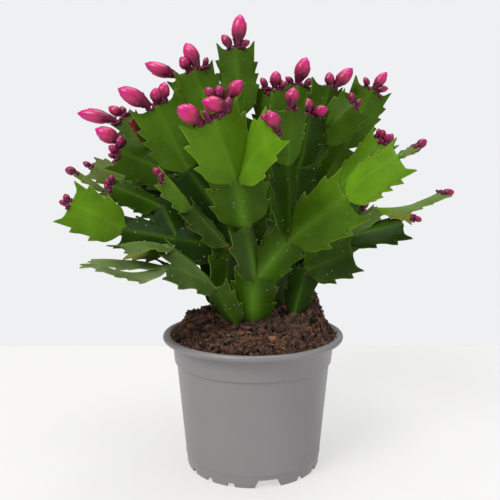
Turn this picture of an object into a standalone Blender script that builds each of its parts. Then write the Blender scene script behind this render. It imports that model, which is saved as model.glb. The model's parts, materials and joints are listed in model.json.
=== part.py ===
"""A Christmas cactus in bud, in a 12 cm nursery pot filled with peat.

Rooted cuttings stand in plain holes in the peat. Each cutting is a chain of flat,
toothed stem segments that fork as they rise and arch outwards, and the outermost
segments carry a cluster of flower buds in the hollow of their cut-off tip.

Sizes in the tables are millimetres and degrees. A heading is a compass angle seen from
above: 0 is +X, 90 is +Y, -90 is -Y. A lean is the angle away from straight up.
"""

import math
import random

import bmesh
import bpy
from mathutils import Vector

MM = 0.001
GAP = 0.3

# Pot
RIM_RADIUS = 60.0
RIM_TOP = 89.0
COLLAR_RADIUS = 53.4
COLLAR_TOP = 84.4
COLLAR_BOTTOM = 70.2
STEP_RADIUS = 51.0
FOOT_RADIUS = 44.4
WALL = 1.4
COLLAR_INSIDE = COLLAR_RADIUS - WALL + 0.4
STEP_INSIDE = STEP_RADIUS - WALL - 0.2
FOOT_INSIDE = FOOT_RADIUS - WALL + 0.6
FLOOR_UNDERSIDE = 5.6
FLOOR_TOP = 7.2
HUB_RADIUS = 13.0
POT_SIDES = 32
DRAIN_RADIUS = 4.0
DRAIN_CIRCLE = 31.0
DRAIN_SIDES = 8
DRAINS = 6

# Notches in the foot's skirt: width at the bottom, width at the top, height. The big ones
# are at these angles from the front, and small ones follow each at these steps.
BIG_NOTCH = (18.0, 12.0, 5.3)
SMALL_NOTCH = (3.4, 2.6, 2.3)
BIG_NOTCHES = (12.0, 132.0, 252.0)
SMALL_NOTCHES = (30.0, 50.0, 70.0, 90.0)

# Peat. A bank is (X, Y, height, width), where peat was pushed up. The slack keeps the peat
# off the flats of the pot's wall.
PEAT_RADIUS = 52.4
PEAT_SLACK = 0.35
PEAT_BANKS = ((40.0, 18.0, 22.0, 12.0), (-44.0, 14.0, 15.0, 9.0), (-30.0, 32.0, 7.0, 14.0))
PEAT_EDGE = 86.5
PEAT_CROWN = 9.0
PEAT_RINGS = (0.22, 0.42, 0.60, 0.77, 0.91, 1.0)
PEAT_BRINK = 24
PEAT_SECTORS = 28
PEAT_ROUGHNESS = 1.0
HOLE_RADIUS = 5.2
HOLE_SIDES = 8
HOLE_DEPTH = 17.0
DIP_DEPTH = 1.5
DIP_WIDTH = 7.0

# Stem segments. The ends of the rib and the claws' reach are fractions of the length.
# A segment is sunk into the one it grows from, a little to the side that it leans.
FOOT_ROD_RADIUS = 2.7
FOOT_ROD_SIDES = 6
FOOT_ROD_DEPTH = 16.0
RIB_THICKNESS = 2.8
EDGE_THICKNESS = 0.9
SUNK = 3.0
RIB_START = 0.36
RIB_END = 0.80
CLAW_REACH = 1.12
TOOTH_STAGGER = 0.02
FORK_SPREAD = 3.0
FORK_OUT = 0.8
FORK_SUNK = 0.4

# Flower buds. A cluster sits on a small woolly cushion, just clear of the segment's tip.
SMALL_BUD = 10.0
SMALL_BUD_SIDES = 5
BUD_SIDES = 6
CUSHION_RADIUS = 1.7
CUSHION_SIDES = 5
CUSHION_MARGIN = 2.5
CUSHION_CLEARANCE = 0.7
SLIVER = 0.5

# Where each cutting's foot stands, X and Y. Its first segment starts just above the peat.
FOOT_CLEARANCE = 2.6
FEET = {
    "front": (-1, -5),
    "left": (-11, -10),
    "side": (-21, 13),
    "crown": (-4, 24),
    "right": (28, 3),
    "far_right": (12, 24),
    "middle": (5, 39),
    "back_left": (-22, 34),
    "back": (-6, 46),
    "back_right": (18, 42),
}

# Each cutting's segments: (name, parent, length, width, heading, lean, way its face looks,
# tilt of that look upwards, bow, cup, teeth on an edge). Bow lifts the middle of the
# segment, and cup drops its edges, both along the way its face looks.
SEGMENTS = {
    "front": [
        ("a", None, 32, 32, -70, 13, -90, 10, 1, 1, 2),
        ("b", "a", 40, 31, -110, 28, -35, 5, 0, 2, 2),
        ("c", "b", 33, 38, -105, 30, -92, 20, 1, 2, 2),
        ("d", "c", 40, 41, -124, 33, -80, 15, 1, 1, 2),
        ("e", "c", 39, 31, -45, 45, -106, 30, 0, -3, 2),
        ("f", "a", 35, 30, -20, 40, -75, 10, 0, 2, 2),
        ("g", "f", 45, 28, -110, 8, -40, 5, 0, 2, 2),
        ("h", "g", 36, 28, -85, 26, -65, 10, 0, 2, 3),
        ("i", "f", 48, 40, -40, 56, -85, 25, 2, 2, 2),
        ("j", "i", 38, 29, -28, 52, -105, 35, 2, 2, 3),
        ("k", "j", 11, 9, 10, 62, -80, 72, 0, 0, 2),
    ],
    "left": [
        ("a", None, 32, 22, -140, 33, -125, 20, 0, 2, 2),
        ("b", "a", 38, 28, -145, 65, -80, 66, 1, 2, 2),
        ("c", "a", 38, 25, -165, 47, -95, 72, 1, 2, 2),
        ("d", "c", 33, 24, -140, 82, -100, 80, 3, 1, 2),
        ("e", "c", 25, 21, 165, 90, -90, 62, 0, 2, 2),
        ("f", "b", 43, 24, -178, 85, -90, 89, 1, 1, 3),
        ("g", "b", 44, 24, -143, 82, -60, 88, -5, 1, 3),
    ],
    "side": [
        ("a", None, 47, 28, 0, 5, -50, 5, 0, 2, 2),
        ("b", "a", 36, 23, -165, 42, -32, 20, 0, 2, 2),
        ("c", "b", 31, 22, -134, 48, -48, 42, 0, 2, 2),
        ("d", "a", 34, 30, 180, 82, -95, 30, 0, 2, 2),
        ("e", "d", 36, 28, -170, 79, -90, 30, 0, 2, 2),
        ("f", "e", 38, 34, -165, 62, -92, 15, 1, 2, 2),
        ("h", "d", 26, 24, 135, 38, -80, 50, 0, 1, 2),
        ("g", "h", 34, 22, -162, 67, -95, 40, 1, 2, 2),
        ("i", "h", 41, 21, 170, 75, -80, 78, 0, 1, 2),
        ("j", "i", 22, 14, -155, 55, -60, 72, 0, 1, 2),
    ],
    "crown": [
        ("a", None, 36, 29, 150, 12, -80, 5, 0, 2, 2),
        ("b", "a", 33, 30, 170, 13, -90, 5, 0, 2, 2),
        ("c", "b", 43, 32, 178, 38, -85, 10, 1, 2, 2),
        ("d", "c", 48, 40, -160, 27, -88, 15, 1, 2, 3),
        ("e", "c", 33, 26, 160, 58, -80, 20, 0, 2, 2),
        ("f", "e", 28, 22, 175, 45, -70, 25, 0, 1, 2),
        ("g", "e", 25, 14, -130, 44, -60, 20, 0, -3, 2),
        ("h", "b", 36, 30, 145, 11, -75, 10, 0, 2, 2),
        ("i", "h", 31, 28, -155, 10, -95, 0, 0, 1, 2),
        ("j", "i", 38, 32, 170, 18, -90, 10, 0, 2, 2),
        ("k", "i", 45, 28, 140, 38, -110, 10, 0, 2, 2),
        ("l", "h", 39, 30, 0, 22, -90, 0, 0, 2, 2),
        ("m", "l", 46, 30, 125, 7, -88, 5, 0, 2, 3),
        ("n", "h", 48, 32, -80, 20, -95, 15, 1, 2, 2),
        ("o", "b", 40, 30, 165, 47, -98, 10, 0, 2, 2),
        ("p", "o", 49, 33, -172, 66, -90, 25, 1, 2, 3),
        ("q", "o", 40, 26, 160, 90, -85, 35, 0, 2, 2),
        ("r", "q", 33, 22, 175, 72, -90, 35, 0, 1, 2),
    ],
    "right": [
        ("a", None, 31, 22, 5, 13, -95, 8, 0, 2, 2),
        ("b", "a", 34, 30, -30, 66, -80, 30, 0, 2, 2),
        ("c", "a", 34, 28, 10, 50, -70, 20, 0, 2, 2),
        ("d", "c", 38, 25, -15, 75, -88, 48, 1, 2, 2),
        ("e", "c", 31, 21, 20, 52, -70, 82, 0, 1, 2),
        ("f", "e", 22, 17, -25, 101, -90, 72, 1, 1, 2),
        ("g", "e", 46, 14, 9, 77, -75, 80, -4, 1, 3),
    ],
    "far_right": [
        ("a", None, 37, 28, 43, 15, -60, 5, 0, 2, 2),
        ("b", "a", 36, 30, 30, 13, -85, 5, 0, 2, 2),
        ("c", "b", 33, 28, -30, 13, -95, 5, 0, 2, 2),
        ("d", "c", 38, 32, -60, 19, -75, 15, 1, 2, 3),
        ("e", "c", 24, 24, 15, 32, -90, 5, 0, 2, 2),
        ("f", "e", 37, 28, 30, 15, -70, 5, 0, 2, 2),
        ("g", "e", 33, 31, -20, 46, -95, 20, 1, 2, 2),
        ("h", "b", 34, 28, 22, 50, -88, 22, 0, 2, 2),
        ("i", "h", 30, 27, 15, 32, -90, 15, 0, 2, 2),
        ("j", "i", 45, 33, 10, 26, -80, 15, 1, 2, 3),
        ("k", "b", 36, 26, -20, 66, -70, 40, 0, 2, 2),
        ("l", "k", 45, 27, -12, 39, -100, 40, 0, 2, 2),
    ],
    "middle": [
        ("a", None, 38, 28, 65, 16, -95, 5, 0, 2, 2),
        ("b", "a", 36, 29, 20, 10, -85, 5, 0, 2, 2),
        ("c", "b", 44, 29, -110, 12, -90, 5, 0, 2, 2),
        ("d", "c", 46, 29, 20, 3, -90, 10, 1, 2, 3),
        ("e", "c", 24, 24, 30, 56, -88, 10, 0, 2, 2),
        ("f", "e", 36, 30, 40, 8, -92, 10, 0, 2, 2),
        ("g", "b", 42, 32, 80, 30, 85, 15, 1, 2, 2),
    ],
    "back_left": [
        ("a", None, 34, 28, 125, 18, 110, 10, 0, 2, 2),
        ("b", "a", 40, 32, 145, 42, 110, 30, 1, 2, 2),
        ("c", "b", 40, 33, 165, 60, 100, 30, 1, 2, 3),
        ("d", "b", 38, 31, 115, 48, 95, 35, 1, 2, 2),
        ("e", "a", 38, 30, 115, 12, 90, 5, 0, 2, 2),
        ("f", "e", 40, 32, 105, 38, 95, 20, 1, 2, 2),
        ("g", "f", 38, 30, 110, 25, 95, 20, 1, 2, 3),
    ],
    "back": [
        ("a", None, 34, 30, 95, 28, 90, 20, 0, 2, 2),
        ("b", "a", 38, 32, 80, 50, 90, 35, 1, 2, 2),
        ("c", "a", 36, 30, 105, 18, 95, 10, 0, 2, 2),
        ("d", "c", 40, 34, 85, 45, 90, 30, 1, 2, 2),
        ("e", "d", 38, 30, 80, 30, 90, 25, 1, 2, 3),
    ],
    "back_right": [
        ("a", None, 36, 26, 30, 22, 25, 10, 0, 2, 2),
        ("b", "a", 40, 32, 40, 48, 75, 30, 1, 2, 2),
        ("c", "b", 40, 32, 20, 60, 80, 35, 1, 2, 3),
        ("d", "a", 38, 28, 50, 20, 50, 5, 0, 2, 2),
        ("e", "d", 42, 34, 65, 40, 75, 20, 1, 2, 3),
        ("f", "e", 38, 31, 55, 25, 80, 15, 1, 2, 2),
    ],
}

# Each cluster of buds, by cutting and segment: (sideways, forwards, length, width, heading,
# lean). Sideways runs along the segment's cut-off tip and forwards the way its face looks.
BUDS = {
    ("front", "d"): [
        (-7, 3, 15, 9.5, 215, 62), (10, 4, 15, 8, 195, 80), (-2, 3, 5, 4, 190, 30),
        (10, 1, 6, 4.5, 0, 12),
    ],
    ("front", "e"): [(-4, 2, 7, 5.5, 180, 25), (2, 3, 10, 7.5, 225, 28), (-6, 3, 6, 4.5, 185, 75)],
    ("front", "h"): [(0, 1, 11, 8, 30, 8)],
    ("front", "k"): [(0, 0, 6, 5, 0, 55)],
    ("side", "c"): [(1, 1, 6, 4.5, 180, 50), (-3, 1, 4, 3.5, 0, 20)],
    ("side", "f"): [(1, 1, 5, 4.5, 170, 20), (-1, 1, 5, 4, 180, 75)],
    ("side", "g"): [(4, 2, 5, 4, 60, 20), (1, 2, 5, 4, 180, 30), (-2, 1, 4, 3.5, 180, 45)],
    ("side", "j"): [(-1, 0, 7, 6, 180, 80)],
    ("crown", "d"): [(-4, 4, 24, 11, 195, 64), (1, 2, 10, 8, -90, 15), (6, 1, 12, 8, 0, 8)],
    ("crown", "f"): [(-6, 3, 27, 9.5, 185, 83), (1, 2, 11, 7, 190, 62), (3, 0, 6, 5, 150, 30)],
    ("crown", "j"): [(3, 1, 17, 10, 180, 26), (-3, 2, 10, 8, 190, 40), (8, 1, 5, 4, 0, 20)],
    ("crown", "k"): [(-3, 0, 24, 9.5, 180, 66)],
    ("crown", "m"): [(1, 1, 20, 10, 0, 5), (-4, 1, 9, 6.5, 170, 38), (4, 1, 6.5, 5, 10, 60)],
    ("crown", "n"): [(-6, 2, 8, 6.5, 195, 50), (-1, 3, 8, 6.5, 200, 20), (3, 2, 14, 9, -10, 42)],
    ("crown", "p"): [
        (8, 1, 19, 10.5, 195, 64), (3, 2, 8, 6, 40, 10), (0, 2, 7, 6, 200, 60),
        (-4, 1, 5, 4, 200, 75),
    ],
    ("crown", "r"): [(0, 1, 6, 4.5, 180, 60)],
    ("right", "f"): [(0, 0, 5, 4, -30, 108)],
    ("right", "g"): [(0, 0, 7.5, 5.5, 5, 82)],
    ("far_right", "d"): [(-1, 1, 8.5, 7.5, 180, 12), (2, 2, 10, 7.5, -30, 88)],
    ("far_right", "f"): [(1, 0, 9, 7, 180, 3), (5, 1, 18, 9, 0, 44)],
    ("far_right", "g"): [(-2, 1, 6, 4.5, 180, 25), (2, 1, 5, 4, 0, 30)],
    ("far_right", "j"): [(-4, 1, 6, 4.5, 180, 30), (1, 1, 15, 7, 0, 38), (4, 1, 8, 5, 0, 85)],
    ("far_right", "l"): [
        (-3, 1, 5, 4.5, 180, 12), (0, 2, 6, 4.5, -95, 25), (3, 3, 6, 4.5, -70, 50),
        (6, 1, 7, 4.5, 5, 15),
    ],
    ("middle", "d"): [(1, 1, 11, 8, 0, 5), (-5, 1, 7, 5, 180, 35), (5, 1, 6, 5, 0, 50)],
    ("middle", "f"): [(-1, 1, 18.5, 10.5, 0, 20), (5, 1, 7, 5.5, 0, 74), (-5, 1, 6, 4.5, 180, 55)],
    ("middle", "g"): [(0, 1, 15, 9, 90, 30), (5, 1, 8, 6, 150, 40)],
    ("back_left", "c"): [(-3, 1, 18, 10, 160, 60), (3, 1, 9, 7, 120, 40)],
    ("back_left", "d"): [(0, 1, 12, 8, 110, 35), (-5, 1, 7, 5, 60, 40)],
    ("back_left", "g"): [(2, 1, 20, 10, 110, 30), (-4, 1, 10, 7, 60, 35)],
    ("back", "e"): [(-2, 1, 19, 10, 90, 35), (5, 1, 8, 6, 150, 40)],
    ("back_right", "c"): [(2, 1, 19, 10, 25, 60), (-4, 1, 8, 6, 80, 40)],
    ("back_right", "f"): [(-2, 1, 18, 10, 70, 30), (4, 1, 9, 7, 120, 35), (-6, 1, 6, 5, 20, 50)],
}


def empty_scene():
    for obj in list(bpy.data.objects):
        bpy.data.objects.remove(obj, do_unlink=True)


def collection(name):
    made = bpy.data.collections.new(name)
    bpy.context.scene.collection.children.link(made)
    return made


def material(name, colour, roughness):
    made = bpy.data.materials.new(name)
    made.use_nodes = True
    shader = made.node_tree.nodes["Principled BSDF"]
    shader.inputs["Base Color"].default_value = (*colour, 1.0)
    shader.inputs["Roughness"].default_value = roughness
    shader.inputs["Metallic"].default_value = 0.0
    return made


def object_of(name, mesh, home):
    obj = bpy.data.objects.new(name, mesh)
    home.objects.link(obj)
    return obj


def mesh_of(name, points, faces):
    """A closed mesh from millimetre points, with its faces turned outwards."""
    mesh = bpy.data.meshes.new(name)
    mesh.from_pydata([Vector(point) * MM for point in points], [], faces)
    bm = bmesh.new()
    bm.from_mesh(mesh)
    bmesh.ops.recalc_face_normals(bm, faces=bm.faces)
    if bm.calc_volume(signed=True) < 0:
        bmesh.ops.reverse_faces(bm, faces=bm.faces)
    bm.to_mesh(mesh)
    bm.free()
    return mesh


def bake(obj, paint):
    """Applies the object's modifiers to its mesh and gives it one material."""
    bpy.context.view_layer.update()
    graph = bpy.context.evaluated_depsgraph_get()
    mesh = bpy.data.meshes.new_from_object(obj.evaluated_get(graph))
    mesh.name = obj.name
    obj.modifiers.clear()
    obj.data = mesh
    mesh.materials.clear()
    mesh.materials.append(paint)
    mesh.polygons.foreach_set("material_index", [0] * len(mesh.polygons))


def fill_pockets(obj):
    """Leaves only the outer shell, so that no gap closed in by a union stays hollow."""
    bm = bmesh.new()
    bm.from_mesh(obj.data)
    left = set(bm.faces)
    shells = []
    while left:
        shell = [left.pop()]
        for face in shell:
            for edge in face.edges:
                beside = left.intersection(edge.link_faces) if len(edge.link_faces) == 2 else ()
                shell.extend(beside)
                left.difference_update(beside)
        shells.append(shell)
    shells.sort(key=len)
    pockets = [face for shell in shells[:-1] for face in shell]
    bmesh.ops.delete(bm, geom=pockets, context="FACES")
    bm.to_mesh(obj.data)
    bm.free()


def merge_slivers(obj):
    """Closes up edges too short to matter, which a union leaves where pieces cross."""
    bm = bmesh.new()
    bm.from_mesh(obj.data)
    bmesh.ops.dissolve_degenerate(bm, dist=SLIVER * MM, edges=bm.edges)
    bmesh.ops.triangulate(bm, faces=bm.faces)
    bm.to_mesh(obj.data)
    bm.free()


def boolean(obj, operation, tools, solver="EXACT"):
    """Joins a collection of tools to the object, or cuts them from it. The MANIFOLD
    solver keeps many thin blades in one clean shell, where EXACT leaves folds."""
    modifier = obj.modifiers.new(operation.title(), "BOOLEAN")
    modifier.operation = operation
    modifier.operand_type = "COLLECTION"
    modifier.collection = tools
    modifier.solver = solver


def discard(tools):
    for obj in list(tools.objects):
        bpy.data.objects.remove(obj, do_unlink=True)
    bpy.data.collections.remove(tools)


def direction(heading, lean):
    around, away = math.radians(heading), math.radians(lean)
    level = Vector((math.cos(around), math.sin(around), 0.0))
    return math.sin(away) * level + math.cos(away) * Vector((0.0, 0.0, 1.0))


# Pot


def pot_profile():
    """From the middle of the floor's top, up the inside, over the rim and down the outside."""
    return [
        (0.0, FLOOR_TOP),
        (FOOT_INSIDE, FLOOR_TOP),
        (STEP_INSIDE, COLLAR_BOTTOM),
        (COLLAR_INSIDE, COLLAR_TOP),
        (RIM_RADIUS - 4.6, RIM_TOP - 0.9),
        (RIM_RADIUS - 3.4, RIM_TOP),
        (RIM_RADIUS - 1.2, RIM_TOP - 0.3),
        (RIM_RADIUS, RIM_TOP - 1.8),
        (RIM_RADIUS - 0.6, RIM_TOP - 3.6),
        (RIM_RADIUS - 2.4, RIM_TOP - 4.0),
        (COLLAR_RADIUS + 0.2, COLLAR_TOP - 0.2),
        (COLLAR_RADIUS - 1.0, COLLAR_BOTTOM + 0.6),
        (STEP_RADIUS, COLLAR_BOTTOM - 0.4),
        (FOOT_RADIUS + 0.3, 1.2),
        (FOOT_RADIUS - 0.2, 0.0),
        (FOOT_RADIUS - WALL, 0.0),
        (FOOT_RADIUS - WALL + 0.2, FLOOR_UNDERSIDE),
        (HUB_RADIUS + 1.0, FLOOR_UNDERSIDE),
        (HUB_RADIUS, 0.0),
        (0.0, 0.0),
    ]


def notch(angle, size, tools):
    """A wedge that cuts a drainage slot up from the foot of the pot's skirt."""
    bottom, top, height = size
    reach = 8.0
    bpy.ops.mesh.primitive_cube_add(size=1.0)
    obj = bpy.context.object
    obj.name = "Notch"
    for vertex in obj.data.vertices:
        x, y, z = vertex.co
        width = top if z > 0 else bottom
        vertex.co = Vector((width * x, reach * y, height if z > 0 else -1.0)) * MM
    around = math.radians(angle)
    middle = FOOT_RADIUS - WALL / 2
    obj.location = Vector((middle * math.sin(around), -middle * math.cos(around), 0.0)) * MM
    obj.rotation_euler = (0.0, 0.0, around)
    move_to(obj, tools)


def move_to(obj, home):
    for old in list(obj.users_collection):
        old.objects.unlink(obj)
    home.objects.link(obj)


def rod(name, x, y, bottom, top, radius, sides, home):
    bpy.ops.mesh.primitive_cylinder_add(
        vertices=sides, radius=radius * MM, depth=(top - bottom) * MM,
        location=Vector((x, y, (top + bottom) / 2)) * MM,
    )
    obj = bpy.context.object
    obj.name = name
    move_to(obj, home)
    return obj


def pot(home, paint):
    """The turned pot, with notches in its skirt and a ring of drain holes."""
    profile = [(radius, 0.0, height) for radius, height in pot_profile()]
    mesh = bpy.data.meshes.new("pot")
    edges = [(i, i + 1) for i in range(len(profile) - 1)]
    mesh.from_pydata([Vector(point) * MM for point in profile], edges, [])
    obj = object_of("pot", mesh, home)
    screw = obj.modifiers.new("Turn", "SCREW")
    screw.axis = "Z"
    screw.steps = screw.render_steps = POT_SIDES
    screw.use_merge_vertices = True
    screw.merge_threshold = 0.00001

    cutters = collection("Pot cutters")
    for angle in BIG_NOTCHES:
        notch(angle, BIG_NOTCH, cutters)
        for step in SMALL_NOTCHES:
            notch(angle + step, SMALL_NOTCH, cutters)
    for i in range(DRAINS):
        around = 2 * math.pi * (i + 0.5) / DRAINS
        x, y = DRAIN_CIRCLE * math.cos(around), DRAIN_CIRCLE * math.sin(around)
        low, high = FLOOR_UNDERSIDE - 2, FLOOR_TOP + 2
        rod("Drain", x, y, low, high, DRAIN_RADIUS, DRAIN_SIDES, cutters)
    boolean(obj, "DIFFERENCE", cutters)
    bake(obj, paint)
    discard(cutters)
    obj.data.shade_smooth()
    obj.data.set_sharp_from_angle(angle=math.radians(30))
    return obj


# Peat


def peat_height(x, y):
    """The heaped surface: a low crown, two banks, and a dip round each foot."""
    spread = min(1.0, math.hypot(x, y) / PEAT_RADIUS)
    crown = PEAT_CROWN * (1 - spread**2)
    banks = sum(
        height * math.exp(-((x - middle_x) ** 2 + (y - middle_y) ** 2) / (2 * width**2))
        for middle_x, middle_y, height, width in PEAT_BANKS
    )
    dips = sum(
        math.exp(-((x - foot_x) ** 2 + (y - foot_y) ** 2) / (2 * DIP_WIDTH**2))
        for foot_x, foot_y in FEET.values()
    )
    return PEAT_EDGE + crown + banks * (1 - spread**PEAT_BRINK) - DIP_DEPTH * min(1.0, dips)


def peat(home, paint):
    """A plug that fills the pot: rings of points on the heaped top, then down the wall."""
    rough = random.Random(7)
    points = []
    for ring, part in enumerate(PEAT_RINGS):
        radius = PEAT_RADIUS * part
        for sector in range(PEAT_SECTORS):
            around = 2 * math.pi * (sector + 0.5 * (ring % 2)) / PEAT_SECTORS
            x, y = radius * math.cos(around), radius * math.sin(around)
            lump = 0.0 if part == 1 else rough.uniform(-1, 1) * PEAT_ROUGHNESS
            points.append((x, y, peat_height(x, y) + lump))
    wall = [
        (COLLAR_INSIDE, COLLAR_TOP - 1.0),
        (STEP_INSIDE, COLLAR_BOTTOM),
        (FOOT_INSIDE, FLOOR_TOP + GAP),
    ]
    for inside, height in wall:
        radius = inside - GAP - PEAT_SLACK
        for sector in range(PEAT_SECTORS):
            around = 2 * math.pi * sector / PEAT_SECTORS
            points.append((radius * math.cos(around), radius * math.sin(around), height))
    top = len(points)
    points.append((0.0, 0.0, peat_height(0, 0)))
    points.append((0.0, 0.0, FLOOR_TOP + GAP))

    faces = []
    for sector in range(PEAT_SECTORS):
        after = (sector + 1) % PEAT_SECTORS
        faces.append((top, sector, after))
        last = top - PEAT_SECTORS
        faces.append((top + 1, last + after, last + sector))
        for row in range(len(PEAT_RINGS) + len(wall) - 1):
            low, high = row * PEAT_SECTORS, (row + 1) * PEAT_SECTORS
            if row % 2 or row >= len(PEAT_RINGS) - 1:
                faces.append((low + sector, high + sector, high + after))
                faces.append((low + sector, high + after, low + after))
            else:
                faces.append((low + sector, high + sector, low + after))
                faces.append((low + after, high + sector, high + after))
    obj = object_of("peat", mesh_of("peat", points, faces), home)

    cutters = collection("Peat cutters")
    for x, y in FEET.values():
        height = peat_height(x, y)
        rod("Hole", x, y, height - HOLE_DEPTH, height + 12, HOLE_RADIUS, HOLE_SIDES, cutters)
    boolean(obj, "DIFFERENCE", cutters)
    bake(obj, paint)
    discard(cutters)
    return obj


# Stem segments


def toothed_edge(teeth, shift):
    """One edge of a segment, base to tip, as (sideways, along): fractions of its half
    width and its length. It ends in a claw beside the cut-off tip."""
    edge = [(0.18, 0.0), (0.86, 0.26)]
    for k in range(teeth):
        along = 0.44 + 0.34 * k / (teeth - 1) + shift
        edge.append((1.0, along))
        edge.append((0.86, along + 0.02))
    edge.append((0.88, CLAW_REACH))
    edge.append((0.50, 1.0))
    return edge


def split(points, loop):
    """Triangles that fill one closed loop of flat points."""
    bm = bmesh.new()
    corners = [bm.verts.new((*points[i], 0.0)) for i in loop]
    number = dict(zip(corners, loop))
    bm.faces.new(corners).normal_update()
    bmesh.ops.triangulate(bm, faces=bm.faces, ngon_method="BEAUTY")
    triangles = [[number[corner] for corner in face.verts] for face in bm.faces]
    bm.free()
    return triangles


class Segment:
    """A flat stem segment, placed by its base, its axis and the way its face looks."""

    def __init__(self, base, row, order):
        _, _, length, width, heading, lean, look, tilt, bow, cup, teeth = row
        self.base, self.length, self.half = Vector(base), length, width / 2
        self.bow, self.cup, self.teeth, self.order = bow, cup, teeth, order
        self.axis = direction(heading, lean)
        facing = direction(look, 90 - tilt)
        self.face = (facing - facing.dot(self.axis) * self.axis).normalized()
        self.side = self.axis.cross(self.face)
        self.tip = self.base + self.length * self.axis

    def place(self, sideways, along, out):
        """A point of the bent blade, from fractions of its half width and length."""
        distance = along * self.length - (SUNK if along <= 0 else 0.0)
        lift = self.bow * math.sin(math.pi * min(1.0, max(0.0, along)))
        drop = self.cup * sideways**2
        return (
            self.base
            + distance * self.axis
            + sideways * self.half * self.side
            + (lift - drop + out) * self.face
        )

    def fork(self, axis):
        """Where a segment with this axis grows from the tip: to the side it leans."""
        return (
            self.tip
            - FORK_SUNK * self.axis
            + FORK_SPREAD * axis.dot(self.side) * self.side
            + FORK_OUT * axis.dot(self.face) * self.face
        )

    def mesh(self):
        """The solid blade: a ridge along the rib, and walls round the toothed edges."""
        stagger = TOOTH_STAGGER if self.order % 2 else -TOOTH_STAGGER
        right = toothed_edge(self.teeth, stagger)
        left = [(-across, along) for across, along in toothed_edge(self.teeth, -stagger)]
        flat = [(0.0, RIB_START), (0.0, RIB_END), *right, *left]
        on_right = list(range(2, 2 + len(right)))
        on_left = list(range(2 + len(right), len(flat)))
        triangles = split(flat, [0, *on_right, 1]) + split(flat, [0, *on_left, 1])
        triangles += [(0, on_left[0], on_right[0]), (1, on_right[-1], on_left[-1])]

        points, faces = [], []
        for side in (1, -1):
            for across, along in flat:
                thick = RIB_THICKNESS + (EDGE_THICKNESS - RIB_THICKNESS) * abs(across)
                points.append(self.place(across, along, side * thick / 2))
        below = len(flat)
        for a, b, c in triangles:
            faces.append((a, b, c))
            faces.append((below + c, below + b, below + a))
        border = on_right + on_left[::-1]
        for i, j in zip(border, border[1:] + border[:1]):
            faces.append((i, j, below + j))
            faces.append((i, below + j, below + i))
        return mesh_of("segment", points, faces)


def segments_of(cutting):
    """The cutting's segments by name. Each stands on its parent's tip, to the side it leans."""
    x, y = FEET[cutting]
    foot = (x, y, peat_height(x, y) + FOOT_CLEARANCE)
    placed = {}
    for order, row in enumerate(SEGMENTS[cutting]):
        name, parent, heading, lean = row[0], row[1], row[4], row[5]
        base = Vector(foot)
        if parent:
            base = placed[parent].fork(direction(heading, lean))
        placed[name] = Segment(base, row, order)
    return placed


def stem(cutting, home, paint):
    """One cutting: a round foot in its hole, and all its segments fused to it."""
    x, y = FEET[cutting]
    node = "stem_" + cutting
    height = peat_height(x, y)
    top = height + FOOT_CLEARANCE + 1.5
    low = height - FOOT_ROD_DEPTH
    obj = rod(node, x, y, low, top, FOOT_ROD_RADIUS, FOOT_ROD_SIDES, home)
    pieces = collection(node + " segments")
    for name, segment in segments_of(cutting).items():
        object_of(node + name, segment.mesh(), pieces)
    boolean(obj, "UNION", pieces, solver="MANIFOLD")
    bake(obj, paint)
    discard(pieces)
    fill_pockets(obj)
    return obj


# Flower buds


def turned(profile, sides, base, axis, name):
    """A closed turned body: (distance along the axis, radius) pairs, pointed at both ends."""
    across = axis.orthogonal().normalized()
    up = axis.cross(across)
    points = [base + profile[0][0] * axis, base + profile[-1][0] * axis]
    for along, radius in profile[1:-1]:
        for side in range(sides):
            around = 2 * math.pi * side / sides
            arm = math.cos(around) * across + math.sin(around) * up
            points.append(base + along * axis + radius * arm)
    faces = []
    rings = len(profile) - 2
    for side in range(sides):
        after = (side + 1) % sides
        faces.append((0, 2 + after, 2 + side))
        last = 2 + (rings - 1) * sides
        faces.append((1, last + side, last + after))
        for ring in range(rings - 1):
            low, high = 2 + ring * sides, 2 + (ring + 1) * sides
            faces.append((low + side, low + after, high + after))
            faces.append((low + side, high + after, high + side))
    return mesh_of(name, points, faces)


def bud_profile(length, width):
    """A neck, a swelling a third of the way up and a pointed tip."""
    if length < SMALL_BUD:
        shape = [(0.0, 0.0), (0.25, 0.90), (0.70, 0.90), (1.0, 0.0)]
    else:
        shape = [(0.0, 0.0), (0.08, 0.50), (0.42, 1.0), (0.80, 0.68), (1.0, 0.0)]
    return [(along * length, radius * width / 2) for along, radius in shape]


def cushion_profile(low, high):
    """The long woolly cushion that the buds grow from, between two points of the tip."""
    return [
        (low, 0.0),
        (low + 0.16 * (high - low), 0.9 * CUSHION_RADIUS),
        (high - 0.16 * (high - low), 0.9 * CUSHION_RADIUS),
        (high, 0.0),
    ]


def bud_cluster(cutting, name, segment, buds, home, paint):
    """The buds of one segment, fused to their cushion."""
    node = f"buds_{cutting}_{name}"
    seat = segment.tip + (CUSHION_RADIUS + CUSHION_CLEARANCE) * segment.axis
    spread = [bud[0] for bud in buds] + [0]
    profile = cushion_profile(min(spread) - CUSHION_MARGIN, max(spread) + CUSHION_MARGIN)
    cushion = turned(profile, CUSHION_SIDES, seat, segment.side, node)
    obj = object_of(node, cushion, home)
    pieces = collection(node + " buds")
    for sideways, forwards, length, wide, heading, lean in buds:
        axis = direction(heading, lean)
        sides = SMALL_BUD_SIDES if length < SMALL_BUD else BUD_SIDES
        base = seat + sideways * segment.side + forwards * 0.3 * segment.face
        object_of("bud", turned(bud_profile(length, wide), sides, base, axis, "bud"), pieces)
    boolean(obj, "UNION", pieces)
    bake(obj, paint)
    discard(pieces)
    merge_slivers(obj)
    return obj


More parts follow.
